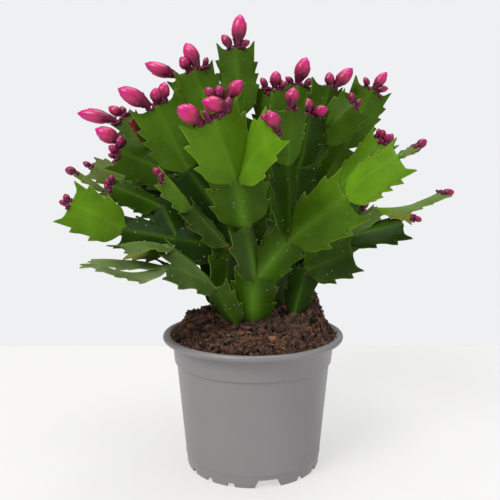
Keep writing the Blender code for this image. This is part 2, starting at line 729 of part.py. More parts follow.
def main():
    empty_scene()
    home = collection("Potted Christmas cactus")
    pot(home, material("Pot plastic", (0.30, 0.29, 0.29), 0.45))
    peat(home, material("Peat", (0.045, 0.022, 0.012), 0.95))
    green = material("Stem green", (0.06, 0.16, 0.02), 0.45)
    magenta = material("Bud magenta", (0.55, 0.02, 0.12), 0.4)
    for cutting in SEGMENTS:
        stem(cutting, home, green)
    for (cutting, name), buds in BUDS.items():
        segment = segments_of(cutting)[name]
        bud_cluster(cutting, name, segment, buds, home, magenta)


main()
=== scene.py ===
"""The looks of a Christmas cactus in bud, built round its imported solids.

Lengths in the tables and in the shape functions are millimetres, and angles are degrees.
A heading is a compass angle seen from above: 0 is +X, 90 is +Y, -90 is -Y. A lean is the
angle away from straight up. Points turn into metres when a piece becomes a mesh.
"""

import json
import math
import random

import bmesh
import bpy
from bpy.props import FloatProperty, FloatVectorProperty, IntProperty, PointerProperty
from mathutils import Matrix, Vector, noise

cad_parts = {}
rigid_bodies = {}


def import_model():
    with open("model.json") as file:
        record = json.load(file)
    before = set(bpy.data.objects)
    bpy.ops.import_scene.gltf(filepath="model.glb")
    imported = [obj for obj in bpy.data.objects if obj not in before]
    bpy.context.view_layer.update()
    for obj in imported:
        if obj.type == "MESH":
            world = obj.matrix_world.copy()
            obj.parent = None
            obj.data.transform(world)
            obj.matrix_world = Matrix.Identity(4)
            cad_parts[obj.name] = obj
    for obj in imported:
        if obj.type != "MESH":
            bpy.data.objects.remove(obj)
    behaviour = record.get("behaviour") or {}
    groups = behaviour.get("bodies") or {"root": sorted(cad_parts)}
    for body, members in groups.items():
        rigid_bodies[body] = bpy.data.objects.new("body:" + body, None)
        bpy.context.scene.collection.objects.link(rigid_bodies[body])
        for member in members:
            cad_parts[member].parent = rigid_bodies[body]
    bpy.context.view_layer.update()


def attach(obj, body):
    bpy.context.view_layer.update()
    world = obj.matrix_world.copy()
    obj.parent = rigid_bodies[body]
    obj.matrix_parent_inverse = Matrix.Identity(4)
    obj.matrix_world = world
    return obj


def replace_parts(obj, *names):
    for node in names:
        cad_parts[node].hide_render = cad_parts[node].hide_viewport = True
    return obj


bl_info = {
    "name": "Potted Christmas Cactus",
    "version": (1, 0, 0),
    "blender": (4, 5, 0),
    "location": "View3D > Sidebar > Cactus",
    "description": "Fine stem segments, buds, peat and pot for a Christmas cactus",
    "category": "Add Mesh",
}

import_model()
BODY = "root"
MM = 0.001
UP = Vector((0, 0, 1))
GOLDEN_ANGLE = math.radians(137.5)

# Pot
RIM_RADIUS = 60.0
RIM_TOP = 89.0
BEAD = 2.0
LIP = 5.0
COLLAR_RADIUS = 53.4
COLLAR_TOP = 84.4
COLLAR_BOTTOM = 70.2
STEP_RADIUS = 51.0
FOOT_RADIUS = 44.4
WALL = 1.4
FLOOR_UNDERSIDE = 5.6
FLOOR_TOP = 7.2
HUB_RADIUS = 13.0
DRAIN_RADIUS = 4.0
DRAIN_CIRCLE = 31.0
DRAINS = 6
DRAIN_SIDES = 24
# A notch is its width at the bottom and at the top, and its height.
BIG_NOTCH = (18.0, 12.0, 5.3)
SMALL_NOTCH = (5.4, 3.8, 2.6)
NOTCH_REACH = 4.0
# Where the big notches stand, and how far round from each its small ones stand.
BIG_NOTCHES = (12.0, 132.0, 252.0)
SMALL_NOTCHES = (30.0, 50.0, 70.0, 90.0)
SCUFF_COLOUR = (0.55, 0.54, 0.52)
SHARP_EDGE = 40.0

# Peat. A bank is X, Y, height and width.
PEAT_RADIUS = 52.2
PEAT_SPREAD = 52.4
PEAT_SKIRT = ((50.6, 78.0), (42.4, FLOOR_TOP + 0.4))
PEAT_EDGE = 86.5
PEAT_CROWN = 9.0
PEAT_BANKS = ((40.0, 18.0, 22.0, 12.0), (-44.0, 10.0, 6.5, 12.0), (-30.0, 32.0, 7.0, 14.0))
PEAT_BRINK = 24
DIP_DEPTH = 1.5
DIP_WIDTH = 7.0
PEAT_RINGS = 80
PEAT_SECTORS = 240
GRIT_COLOUR = (0.32, 0.20, 0.12)
# Four large chips of bark: where each lies, and its three sizes.
LARGE_CHIPS = (
    ((-24, -38), (7.0, 2.4, 1.1)), ((-8, -30), (3.2, 2.2, 1.5)),
    ((34, -22), (5.0, 2.8, 1.6)), ((12, -34), (3.6, 2.6, 1.8)),
)

# Stem segments
FOOT_CLEARANCE = 2.6
FOOT_DEPTH = 12.0
SUNK = 3.0
FORK_SPREAD = 3.0
FORK_OUT = 0.8
FORK_SUNK = 0.4
NECK_WIDTH = 0.18
SHOULDER = 0.26
VALLEY_WIDTH = 0.80
FIRST_TOOTH = 0.44
TOOTH_RUN = 0.34
TOOTH_STAGGER = 0.02
TOOTH_NOTCH = 0.02
TOOTH_HOOK = 0.048
FOLD = 0.15
CLAW_WIDTH = 0.90
CLAW_REACH = 1.12
CLAW_START = 0.75
SCAR_COLOUR = (0.42, 0.46, 0.36)
NECK_CURVE = 1.9
HOOK_RUN = 0.035
FLESH = 0.75
RIB_WIDTH = 1.5
BLADE_ROWS = 24
# Where the points of one row stand, as fractions of the half width.
COLUMNS = (0.0, 0.07, 0.15, 0.27, 0.42, 0.57, 0.70, 0.81, 0.90, 0.96, 1.0)

# Buds. An outline is how wide a bud is along its length. Petals are how far each one reaches.
CUSHION_RADIUS = 1.7
CUSHION_CLEARANCE = 0.7
BUD_SUNK = 0.8
BUD_SIDES = 14
BUD_RINGS = 10
RIPE_OUTLINE = (
    (0.0, 0.34), (0.10, 0.46), (0.22, 0.66), (0.36, 0.92), (0.50, 1.0), (0.68, 0.93),
    (0.84, 0.66), (0.95, 0.34), (1.0, 0.03),
)
YOUNG_OUTLINE = ((0.0, 0.40), (0.16, 0.78), (0.45, 1.0), (0.70, 0.88), (0.90, 0.50), (1.0, 0.04))
RIPE_PETALS = (1.0, 1.0, 0.98, 0.74, 0.70, 0.42, 0.38, 0.22, 0.20)
YOUNG_PETALS = (1.0, 0.96, 0.66, 0.40, 0.36)

# Stage. Lengths here are metres.
TABLE_FRONT = -1.4
TABLE_WIDTH = 3.6
# Painted light: how much the table glows, which keeps the shadows on it pale.
TABLE_GLOW = 0.64
LIGHTS_AIM = (0.0, 0.0, 0.15)
CAMERA_SHIFT = -0.002
CAMERA_DIP = 7.35

# Where each cutting's foot stands, X and Y.
FEET = {
    "front": (-1, -5),
    "left": (-11, -10),
    "side": (-21, 13),
    "crown": (-4, 24),
    "right": (28, 3),
    "far_right": (12, 24),
    "middle": (5, 39),
    "back_left": (-22, 34),
    "back": (-6, 46),
    "back_right": (18, 42),
}

# Each cutting's segments: (name, parent, length, width, heading, lean, way its face looks,
# tilt of that look upwards, bow, cup, teeth on an edge). Bow lifts the middle of the
# segment, and cup drops its edges, both along the way its face looks. A row may end early:
# the bow is then 0, the cup 2 and the teeth 2.
SEGMENTS = {
    "front": [
        ("a", None, 32, 32, -70, 13, -90, 10, 1, 1),
        ("b", "a", 40, 31, -110, 28, -35, 5),
        ("c", "b", 33, 38, -105, 30, -92, 20, 1),
        ("d", "c", 40, 41, -124, 33, -80, 15, 1, 1),
        ("e", "c", 39, 31, -45, 45, -106, 30, 0, -3),
        ("f", "a", 35, 30, -20, 40, -75, 10),
        ("g", "f", 45, 28, -110, 8, -40, 5),
        ("h", "g", 36, 28, -85, 26, -65, 10, 0, 2, 3),
        ("i", "f", 48, 40, -40, 56, -85, 25, 2),
        ("j", "i", 38, 29, -28, 52, -105, 35, 2, 2, 3),
        ("k", "j", 11, 9, 10, 62, -80, 72, 0, 0),
    ],
    "left": [
        ("a", None, 32, 22, -140, 33, -125, 20),
        ("b", "a", 38, 28, -145, 65, -80, 66, 1),
        ("c", "a", 38, 25, -165, 47, -95, 72, 1),
        ("d", "c", 33, 24, -140, 82, -100, 80, 3, 1),
        ("e", "c", 25, 21, 165, 90, -90, 62),
        ("f", "b", 43, 24, -178, 85, -90, 89, 1, 1, 3),
        ("g", "b", 44, 24, -143, 82, -60, 88, -5, 1, 3),
    ],
    "side": [
        ("a", None, 47, 28, 0, 5, -50, 5),
        ("b", "a", 36, 23, -165, 42, -32, 20),
        ("c", "b", 31, 22, -134, 48, -48, 42),
        ("d", "a", 34, 30, 180, 82, -95, 30),
        ("e", "d", 36, 28, -170, 79, -90, 30),
        ("f", "e", 38, 34, -165, 62, -92, 15, 1),
        ("h", "d", 26, 24, 135, 38, -80, 50, 0, 1),
        ("g", "h", 34, 22, -162, 67, -95, 40, 1),
        ("i", "h", 41, 21, 170, 75, -80, 78, 0, 1),
        ("j", "i", 22, 14, -155, 55, -60, 72, 0, 1),
    ],
    "crown": [
        ("a", None, 36, 29, 150, 12, -80, 5),
        ("b", "a", 33, 30, 170, 13, -90, 5),
        ("c", "b", 43, 32, 178, 38, -85, 10, 1),
        ("d", "c", 48, 40, -160, 27, -88, 15, 1, 2, 3),
        ("e", "c", 33, 26, 160, 58, -80, 20),
        ("f", "e", 28, 22, 175, 45, -70, 25, 0, 1),
        ("g", "e", 25, 14, -130, 44, -60, 20, 0, -3),
        ("h", "b", 36, 30, 145, 11, -75, 10),
        ("i", "h", 31, 28, -155, 10, -95, 0, 0, 1),
        ("j", "i", 38, 32, 170, 18, -90, 10),
        ("k", "i", 45, 28, 140, 38, -110, 10),
        ("l", "h", 39, 30, 0, 22, -90, 0),
        ("m", "l", 46, 30, 125, 7, -88, 5, 0, 2, 3),
        ("n", "h", 48, 32, -80, 20, -95, 15, 1),
        ("o", "b", 40, 30, 165, 47, -98, 10),
        ("p", "o", 49, 33, -172, 66, -90, 25, 1, 2, 3),
        ("q", "o", 40, 26, 160, 90, -85, 35),
        ("r", "q", 33, 22, 175, 72, -90, 35, 0, 1),
    ],
    "right": [
        ("a", None, 31, 22, 5, 13, -95, 8),
        ("b", "a", 34, 30, -30, 66, -80, 30),
        ("c", "a", 34, 28, 10, 50, -70, 20),
        ("d", "c", 38, 25, -15, 75, -88, 48, 1),
        ("e", "c", 31, 21, 20, 52, -70, 82, 0, 1),
        ("f", "e", 22, 17, -25, 101, -90, 72, 1, 1),
        ("g", "e", 46, 14, 9, 77, -75, 80, -4, 1, 3),
    ],
    "far_right": [
        ("a", None, 37, 28, 43, 15, -60, 5),
        ("b", "a", 36, 30, 30, 13, -85, 5),
        ("c", "b", 33, 28, -30, 13, -95, 5),
        ("d", "c", 38, 32, -60, 19, -75, 15, 1, 2, 3),
        ("e", "c", 24, 24, 15, 32, -90, 5),
        ("f", "e", 37, 28, 30, 15, -70, 5),
        ("g", "e", 33, 31, -20, 46, -95, 20, 1),
        ("h", "b", 34, 28, 22, 50, -88, 22),
        ("i", "h", 30, 27, 15, 32, -90, 15),
        ("j", "i", 45, 33, 10, 26, -80, 15, 1, 2, 3),
        ("k", "b", 36, 26, -20, 66, -70, 40),
        ("l", "k", 45, 27, -12, 39, -100, 40),
    ],
    "middle": [
        ("a", None, 38, 28, 65, 16, -95, 5),
        ("b", "a", 36, 29, 20, 10, -85, 5),
        ("c", "b", 44, 29, -110, 12, -90, 5),
        ("d", "c", 46, 29, 20, 3, -90, 10, 1, 2, 3),
        ("e", "c", 24, 24, 30, 56, -88, 10),
        ("f", "e", 36, 30, 40, 8, -92, 10),
        ("g", "b", 42, 32, 80, 30, 85, 15, 1),
    ],
    "back_left": [
        ("a", None, 34, 28, 125, 18, 110, 10),
        ("b", "a", 40, 32, 145, 42, 110, 30, 1),
        ("c", "b", 40, 33, 165, 60, 100, 30, 1, 2, 3),
        ("d", "b", 38, 31, 115, 48, 95, 35, 1),
        ("e", "a", 38, 30, 115, 12, 90, 5),
        ("f", "e", 40, 32, 105, 38, 95, 20, 1),
        ("g", "f", 38, 30, 110, 25, 95, 20, 1, 2, 3),
    ],
    "back": [
        ("a", None, 34, 30, 95, 28, 90, 20),
        ("b", "a", 38, 32, 80, 50, 90, 35, 1),
        ("c", "a", 36, 30, 105, 18, 95, 10),
        ("d", "c", 40, 34, 85, 45, 90, 30, 1),
        ("e", "d", 38, 30, 80, 30, 90, 25, 1, 2, 3),
    ],
    "back_right": [
        ("a", None, 36, 26, 30, 22, 25, 10),
        ("b", "a", 40, 32, 40, 48, 75, 30, 1),
        ("c", "b", 40, 32, 20, 60, 80, 35, 1, 2, 3),
        ("d", "a", 38, 28, 50, 20, 50, 5),
        ("e", "d", 42, 34, 65, 40, 75, 20, 1, 2, 3),
        ("f", "e", 38, 31, 55, 25, 80, 15, 1),
    ],
}

# Each cluster of buds, by cutting and then segment: (sideways, forwards, length, width, heading,
# lean). Sideways runs along the segment's cut-off tip and forwards the way its face looks.
BUDS = {
    "front": {
        "d": [
            (-7, 3, 15, 9.5, 215, 62), (10, 4, 15, 8, 195, 80), (-2, 3, 5, 4, 190, 30),
            (10, 1, 6, 4.5, 0, 12),
        ],
        "e": [(-4, 2, 7, 5.5, 180, 25), (2, 3, 10, 7.5, 225, 28), (-6, 3, 6, 4.5, 185, 75)],
        "h": [(0, 1, 11, 8, 30, 8)],
        "k": [(0, 0, 6, 5, 0, 55)],
    },
    "side": {
        "c": [(1, 1, 6, 4.5, 180, 50), (-3, 1, 4, 3.5, 0, 20)],
        "f": [(1, 1, 5, 4.5, 170, 20), (-1, 1, 5, 4, 180, 75)],
        "g": [(4, 2, 5, 4, 60, 20), (1, 2, 5, 4, 180, 30), (-2, 1, 4, 3.5, 180, 45)],
        "j": [(-1, 0, 7, 6, 180, 80)],
    },
    "crown": {
        "d": [(-4, 4, 24, 11, 195, 64), (1, 2, 10, 8, -90, 15), (6, 1, 12, 8, 0, 8)],
        "f": [(-6, 3, 27, 9.5, 185, 83), (1, 2, 11, 7, 190, 62), (3, 0, 6, 5, 150, 30)],
        "j": [(3, 1, 17, 10, 180, 26), (-3, 2, 10, 8, 190, 40), (8, 1, 5, 4, 0, 20)],
        "k": [(-3, 0, 24, 9.5, 180, 66)],
        "m": [(1, 1, 20, 10, 0, 5), (-4, 1, 9, 6.5, 170, 38), (4, 1, 6.5, 5, 10, 60)],
        "n": [(-6, 2, 8, 6.5, 195, 50), (-1, 3, 8, 6.5, 200, 20), (3, 2, 14, 9, -10, 42)],
        "p": [
            (8, 1, 19, 10.5, 195, 64), (3, 2, 8, 6, 40, 10), (0, 2, 7, 6, 200, 60),
            (-4, 1, 5, 4, 200, 75),
        ],
        "r": [(0, 1, 6, 4.5, 180, 60)],
    },
    "right": {
        "f": [(0, 0, 5, 4, -30, 108)],
        "g": [(0, 0, 7.5, 5.5, 5, 82)],
    },
    "far_right": {
        "d": [(-1, 1, 8.5, 7.5, 180, 12), (2, 2, 10, 7.5, -30, 88)],
        "f": [(1, 0, 9, 7, 180, 3), (5, 1, 18, 9, 0, 44)],
        "g": [(-2, 1, 6, 4.5, 180, 25), (2, 1, 5, 4, 0, 30)],
        "j": [(-4, 1, 6, 4.5, 180, 30), (1, 1, 15, 7, 0, 38), (4, 1, 8, 5, 0, 85)],
        "l": [
            (-3, 1, 5, 4.5, 180, 12), (0, 2, 6, 4.5, -95, 25), (3, 3, 6, 4.5, -70, 50),
            (6, 1, 7, 4.5, 5, 15),
        ],
    },
    "middle": {
        "d": [(1, 1, 11, 8, 0, 5), (-5, 1, 7, 5, 180, 35), (5, 1, 6, 5, 0, 50)],
        "f": [(-1, 1, 18.5, 10.5, 0, 20), (5, 1, 7, 5.5, 0, 74), (-5, 1, 6, 4.5, 180, 55)],
        "g": [(0, 1, 15, 9, 90, 30), (5, 1, 8, 6, 150, 40)],
    },
    "back_left": {
        "c": [(-3, 1, 18, 10, 160, 60), (3, 1, 9, 7, 120, 40)],
        "d": [(0, 1, 12, 8, 110, 35), (-5, 1, 7, 5, 60, 40)],
        "g": [(2, 1, 20, 10, 110, 30), (-4, 1, 10, 7, 60, 35)],
    },
    "back": {
        "e": [(-2, 1, 19, 10, 90, 35), (5, 1, 8, 6, 150, 40)],
    },
    "back_right": {
        "c": [(2, 1, 19, 10, 25, 60), (-4, 1, 8, 6, 80, 40)],
        "f": [(-2, 1, 18, 10, 70, 30), (4, 1, 9, 7, 120, 35), (-6, 1, 6, 5, 20, 50)],
    },
}

# How fresh the skin is, with painted shade: from 0 for the dark segments inside, darker partly
# from age and partly from painted shade between the segments, to 1 for the newest. Other
# segments freshen a little from the foot outwards.
FRESH_AND_SHADE = {
    "front": {
        "a": 0.10, "b": 0.11, "c": 0.19, "d": 0.50, "e": 0.56, "f": 0.16, "g": 0.06,
        "h": 0.26, "i": 0.28, "j": 0.56, "k": 0.25,
    },
    "left": {"a": 0.14, "b": 0.08, "c": 0.14, "d": 0.18, "e": 0.35, "f": 0.20, "g": 0.14},
    "side": {
        "a": 0.12, "b": 0.10, "c": 0.58, "d": 0.00, "e": 0.02, "f": 0.50, "g": 0.10,
        "h": 0.00, "i": 0.18, "j": 0.40,
    },
    "crown": {
        "a": 0.10, "b": 0.01, "c": 0.00, "d": 0.30, "e": 0.04, "f": 0.16, "g": 0.30,
        "h": 0.16, "i": 0.26, "j": 0.24, "k": 0.24, "l": 0.16, "m": 0.22, "n": 0.36,
        "o": 0.01, "p": 0.14, "q": 0.08, "r": 0.30,
    },
    "right": {"a": 0.04, "b": 0.10, "c": 0.16, "d": 0.05, "e": 0.14, "f": 0.42, "g": 0.30},
    "far_right": {
        "a": 0.12, "b": 0.03, "c": 0.03, "d": 0.06, "e": 0.14, "f": 0.14, "g": 0.20,
        "i": 0.22, "j": 0.26, "k": 0.10, "l": 0.34,
    },
    "middle": {"a": 0.14, "d": 0.24, "f": 0.26},
}
# How red a segment has turned, from 0 to 1.
BLUSH = {
    "front": {"k": 0.20},
    "left": {"e": 0.25, "f": 0.06},
    "side": {"i": 0.10, "j": 0.12},
    "crown": {"g": 0.90, "r": 0.20},
    "right": {"f": 0.35, "g": 0.05},
}
# How far the pale band along the rib spreads and shows, where it stands out: partly the rib's
# own paler skin, partly painted light that is brightest at the base and fades towards the tip.
RIB_BAND_AND_LIGHT = {
    "front": {"a": 1.0, "b": 0.6, "c": 0.6, "f": 0.7, "i": 0.35}, "left": {"a": 0.4},
    "middle": {"a": 0.5}, "crown": {"n": 0.3},
}
# How much painted sheen a segment has, from 0 to 1: grey-green patches that stand for light
# shining off the skin.
PAINTED_SHEEN = {
    "front": {"b": 0.06, "k": 0.15},
    "left": {"a": 0.06, "b": 0.13, "c": 0.20, "d": 0.24, "e": 0.14, "f": 0.38, "g": 0.50},
    "side": {"b": 0.10, "c": 0.14, "j": 0.35},
    "crown": {"f": 0.10, "r": 0.14},
    "right": {"b": 0.06, "e": 0.12, "g": 0.22},
}
OLD = 0.03
FRESHENING = 0.03
PLAIN_BAND = 0.15


# Meshes


def on_circle(radius, around, level=0.0, x=0.0, y=0.0):
    """A point on a level circle round X and Y."""
    return (x + radius * math.cos(around), y + radius * math.sin(around), level)


class Shape:
    """Points and faces that build up to one mesh, with numbers kept for each point."""

    def __init__(self, *names):
        self.points, self.faces = [], []
        self.values = {name: [] for name in names}

    def add(self, point, **values):
        self.points.append(point)
        for name, kept in self.values.items():
            kept.append(values.get(name, 0.0))
        return len(self.points) - 1

    def ring(self, count, place, **values):
        """Adds points all the way round, each placed by its angle."""
        return [self.add(place(2 * math.pi * i / count), **values) for i in range(count)]

    def skin(self, rows, closed=True, caps=False):
        """Joins equally long rows of points with four-sided faces, and may cap the ends."""
        for low, high in zip(rows, rows[1:]):
            for i in range(len(low) if closed else len(low) - 1):
                j = (i + 1) % len(low)
                self.faces.append((low[i], low[j], high[j], high[i]))
        if caps:
            self.faces += [tuple(rows[0])[::-1], tuple(rows[-1])]

    def fan(self, point, row, **values):
        """Closes a row of points with one more point in its middle."""
        middle = self.add(point, **values)
        for i, corner in enumerate(row):
            self.faces.append((middle, corner, row[(i + 1) % len(row)]))

    def copy(self, faces, start):
        """Adds a template's faces for the points that were added from start on."""
        self.faces += [tuple(start + i for i in face) for face in faces]

    def mesh(self, name):
        """The mesh in metres, with its faces turned outwards."""
        mesh = bpy.data.meshes.new(name)
        mesh.from_pydata([Vector(point) * MM for point in self.points], [], self.faces)
        for key, kept in self.values.items():
            mesh.attributes.new(key, "FLOAT", "POINT").data.foreach_set("value", kept)
        bm = bmesh.new()
        bm.from_mesh(mesh)
        bmesh.ops.recalc_face_normals(bm, faces=bm.faces)
        bm.to_mesh(mesh)
        bm.free()
        return mesh

    def piece(self, name, material):
        """A smooth piece that stays with the pot and takes its finish from a slot."""
        mesh = self.mesh(name)
        mesh.materials.append(material)
        mesh.shade_smooth()
        obj = bpy.data.objects.new(name, mesh)
        bpy.context.scene.collection.objects.link(obj)
        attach(obj, BODY)
        return obj


def direction(heading, lean):
    across = math.sin(math.radians(lean))
    return Vector(on_circle(across, math.radians(heading), math.cos(math.radians(lean))))


def ease(value):
    """Runs smoothly from 0 to 1 while the value does, and stays there."""
    value = min(1.0, max(0.0, value))
    return value * value * (3 - 2 * value)


def between(value, rows):
    """A smooth reading of a short table of (position, amount) rows."""
    for (start, low), (end, high) in zip(rows, rows[1:]):
        if value <= end:
            return low + (high - low) * ease((value - start) / (end - start))
    return rows[-1][1]


def bell(distance, width):
    """Falls from 1 as the distance grows past the width."""
    return math.exp(-((distance / width) ** 2))


def jitter(chance, reach):
    """A random step, up to the reach along each axis."""
    return Vector([chance.uniform(-reach, reach) for _ in range(3)])


def any_way(chance):
    """A random step that leans no more one way than another."""
    return Vector([chance.gauss(0, 1) for _ in range(3)])


# Materials


class Nodes:
    """A node tree, with short ways to add to it. A value is a number, a colour or a socket."""

    def __init__(self, tree):
        self.tree = tree

    def set(self, node, values):
        """Sets or joins a node's inputs, each by its name or its place."""
        for key, value in values.items():
            socket = node.inputs[key]
            if isinstance(value, bpy.types.NodeSocket):
                self.tree.links.new(value, socket)
            elif socket.type == "RGBA":
                socket.default_value = (*value, 1.0)
            else:
                socket.default_value = value

    def add(self, kind, values=(), **settings):
        """Adds a node, with its inputs by name or in their order, and its settings."""
        node = self.tree.nodes.new("ShaderNode" + kind)
        for key, value in settings.items():
            setattr(node, key, value)
        self.set(node, values if isinstance(values, dict) else dict(enumerate(values)))
        return node

    def place(self):
        return self.add("TexCoord").outputs["Object"]

    def kept(self, name):
        """A number kept in the mesh for each point."""
        return self.add("Attribute", attribute_name=name).outputs["Fac"]

    def noise(self, place, scale, detail):
        values = {"Vector": place, "Scale": scale, "Detail": detail}
        return self.add("TexNoise", values).outputs["Fac"]

    def mix(self, amount, first, second, mode="MIX"):
        values = {0: amount, 6: first, 7: second}
        return self.add("Mix", values, data_type="RGBA", blend_type=mode).outputs[2]

    def maths(self, operation, first, second):
        return self.add("Math", (first, second), operation=operation).outputs[0]

    def times(self, first, second):
        return self.maths("MULTIPLY", first, second)

    def remap(self, *values):
        """A value read from one range to another, which is 0 to 1 unless given."""
        return self.add("MapRange", values).outputs[0]

    def group(self, name, fill, **values):
        """Uses a node group that all materials share, and that is filled the first time."""
        group = bpy.data.node_groups.get(name)
        if not group:
            group = bpy.data.node_groups.new(name, "ShaderNodeTree")
            settings = {"socket_type": "NodeSocketFloat"}
            for key in values:
                label = key.replace("_", " ").title()
                group.interface.new_socket(name=label, in_out="INPUT", **settings)
            source = group.nodes.new("NodeGroupInput")
            made = fill(Nodes(group), *source.outputs[:len(values)])
            for key in made:
                group.interface.new_socket(name=key, in_out="OUTPUT", **settings)
            result = group.nodes.new("NodeGroupOutput")
            for key, socket in made.items():
                group.links.new(socket, result.inputs[key])
        return self.add("Group", tuple(values.values()), node_tree=group).outputs

    def mottle(self, blotch, grain, contrast=1.0):
        values = {"blotch_scale": blotch, "grain_scale": grain, "contrast": contrast}
        return self.group("Mottle and Grain", mottle_nodes, **values)[:2]

    def specks(self, scale, size, share):
        return self.group("Specks", specks_nodes, scale=scale, size=size, share=share)[0]


def mottle_nodes(nodes, blotch_scale, grain_scale, contrast):
    """Soft blotches of a given size, and fine grain, for any surface that isn't even."""
    made = {}
    for name, scale, detail in (("Blotches", blotch_scale, 3.0), ("Grain", grain_scale, 5.0)):
        centred = nodes.maths("SUBTRACT", nodes.noise(nodes.place(), scale, detail), 0.5)
        made[name] = nodes.maths("ADD", nodes.times(centred, contrast), 0.5)
    return made


def specks_nodes(nodes, scale, size, share):
    """Small scattered spots: scars on old stems, mineral dust on plastic, grit in peat."""
    cells = nodes.add("TexVoronoi", {"Vector": nodes.place(), "Scale": scale}).outputs
    near = nodes.maths("LESS_THAN", cells["Distance"], size)
    split = nodes.add("SeparateColor", {"Color": cells["Color"]}).outputs
    return {"Mask": nodes.times(near, nodes.maths("LESS_THAN", split[0], share))}


class Skin(Nodes):
    """A new material, with its Principled shader."""

    def __init__(self, name, **values):
        self.material = bpy.data.materials.new(name)
        self.material.use_nodes = True
        super().__init__(self.material.node_tree)
        self.shader = self.tree.nodes["Principled BSDF"]
        self.set(self.shader, {key.replace("_", " "): value for key, value in values.items()})

    def finish(self, colour, rough, height, strength, depth):
        """Sets the colour, the roughness and a relief, whose depth is in millimetres."""
        bump = self.add("Bump", {"Height": height, "Strength": strength, "Distance": depth * MM})
        normal = bump.outputs["Normal"]
        self.set(self.shader, {"Base Color": colour, "Roughness": rough, "Normal": normal})
        return self.material


def stem_material(settings):
    """Waxy skin: dark where old and with painted shade on the segments inside, bright where
    fresh, paler on the rib with painted light towards its base, paler at the rim, patched with a
    painted grey sheen, and brown at the teeth's points and where one segment grows from another."""
    skin = Skin(
        "Waxy Stem", Subsurface_Weight=0.06, Subsurface_Radius=(0.4, 1.0, 0.1),
        Subsurface_Scale=0.002, Specular_IOR_Level=0.07,
    )
    blotches, grain = skin.mottle(45.0, 1100.0)
    # Freshness with painted shade: low values darken the segments inside, partly for age and partly
    # as painted shade between them.
    fresh_and_shade = skin.kept("Fresh")
    shade = skin.remap(blotches, 0.3, 0.7, 0.70, 1.22)
    grey = skin.add("CombineColor", (shade, shade, shade)).outputs[0]
    green = skin.mix(fresh_and_shade, settings.old_and_shaded_green, settings.fresh_green)
    green = skin.mix(1.0, green, grey, "MULTIPLY")
    # Paler rib: partly its own colour and partly painted light, brighter towards the base.
    green = skin.mix(skin.kept("Rib"), green, settings.rib_and_light_green)
    patches = skin.remap(blotches, 0.35, 0.6, 0.4, 1.0)
    green = skin.mix(skin.times(patches, skin.kept("Blush")), green, settings.blush)
    # Painted sheen: grey-green patches stand for light shining off the skin.
    patches = skin.remap(blotches, 0.3, 0.7, 0.6, 1.0)
    green = skin.mix(skin.times(patches, skin.kept("Bloom")), green, settings.painted_sheen)
    rim = skin.remap(skin.kept("Rim"), 0.965, 1.0, 0.0, 0.6)
    rim = skin.times(rim, skin.remap(fresh_and_shade, 0.0, 0.3, 0.35, 1.0))
    green = skin.mix(rim, green, settings.rim_green)
    scars = skin.times(skin.specks(330.0, 0.16, 0.16), skin.kept("Age"))
    green = skin.mix(skin.times(scars, 0.7), green, SCAR_COLOUR)
    green = skin.mix(skin.kept("Cork"), green, settings.cork)
    height = skin.maths("ADD", skin.times(blotches, 3.0), grain)
    return skin.finish(green, skin.remap(grain, 0.3, 0.7, 0.30, 0.44), height, 0.35, 0.25)


def bud_material(settings):
    """Satin petals: maroon at the base, salmon in the middle and magenta at the tip."""
    skin = Skin(
        "Bud Petals", Subsurface_Weight=0.12, Subsurface_Radius=(1.0, 0.2, 0.35),
        Subsurface_Scale=0.0012, Specular_IOR_Level=0.45,
    )
    along = skin.kept("Along")
    small = skin.mix(skin.remap(along, 0.25, 0.75), settings.scale_colour, settings.small_bud)
    ripe = skin.mix(skin.remap(along, 0.16, 0.60), settings.base_colour, settings.flesh)
    ripe = skin.mix(skin.remap(along, 0.45, 0.90), ripe, settings.tip_colour)
    colour = skin.mix(skin.kept("Ripe"), small, ripe)
    dark = skin.times(skin.kept("Dark"), 0.85)
    colour = skin.mix(dark, colour, settings.scale_colour)
    place = (skin.times(skin.kept("Around"), 9.0), skin.times(along, 1.5))
    veins = skin.noise(skin.add("CombineXYZ", place).outputs[0], 3.0, 3.0)
    colour = skin.mix(skin.remap(veins, 0.35, 0.65, 0.0, 0.25), colour, settings.tip_colour)
    _, grain = skin.mottle(200.0, 1500.0)
    rough = skin.remap(grain, 0.3, 0.7, 0.25, 0.38)
    return skin.finish(colour, rough, skin.maths("ADD", veins, grain), 0.25, 0.15)


def pot_material(settings):
    """Moulded grey plastic: almost even, with a fine grain and a few pale scuffs."""
    skin = Skin("Pot Plastic")
    blotches, grain = skin.mottle(28.0, 2200.0)
    lighter = [min(1.0, part * 1.10) for part in settings.plastic]
    darker = [part * 0.93 for part in settings.plastic]
    scuffs = skin.times(skin.specks(240.0, 0.07, 0.12), 0.35)
    colour = skin.mix(scuffs, skin.mix(blotches, darker, lighter), SCUFF_COLOUR)
    matt = settings.roughness
    rough = skin.remap(blotches, 0.3, 0.7, matt - 0.05, matt + 0.07)
    return skin.finish(colour, rough, grain, 0.18, 0.06)


def peat_material(name, dark, light):
    """Damp fibre and crumb: every lump has its own shade, and each is grained."""
    skin = Skin(name)
    blotches, grain = skin.mottle(260.0, 1500.0, 1.4)
    tone = skin.maths("ADD", skin.times(skin.kept("Shade"), 0.6), blotches)
    colour = skin.mix(skin.remap(tone, 0.50, 1.15), dark, light)
    grit = skin.times(skin.specks(420.0, 0.14, 0.10), 0.5)
    colour = skin.mix(grit, colour, GRIT_COLOUR)
    height = skin.maths("ADD", skin.times(blotches, 2.0), grain)
    return skin.finish(colour, skin.remap(grain, 0.3, 0.7, 0.78, 1.0), height, 0.8, 0.5)


# Pot


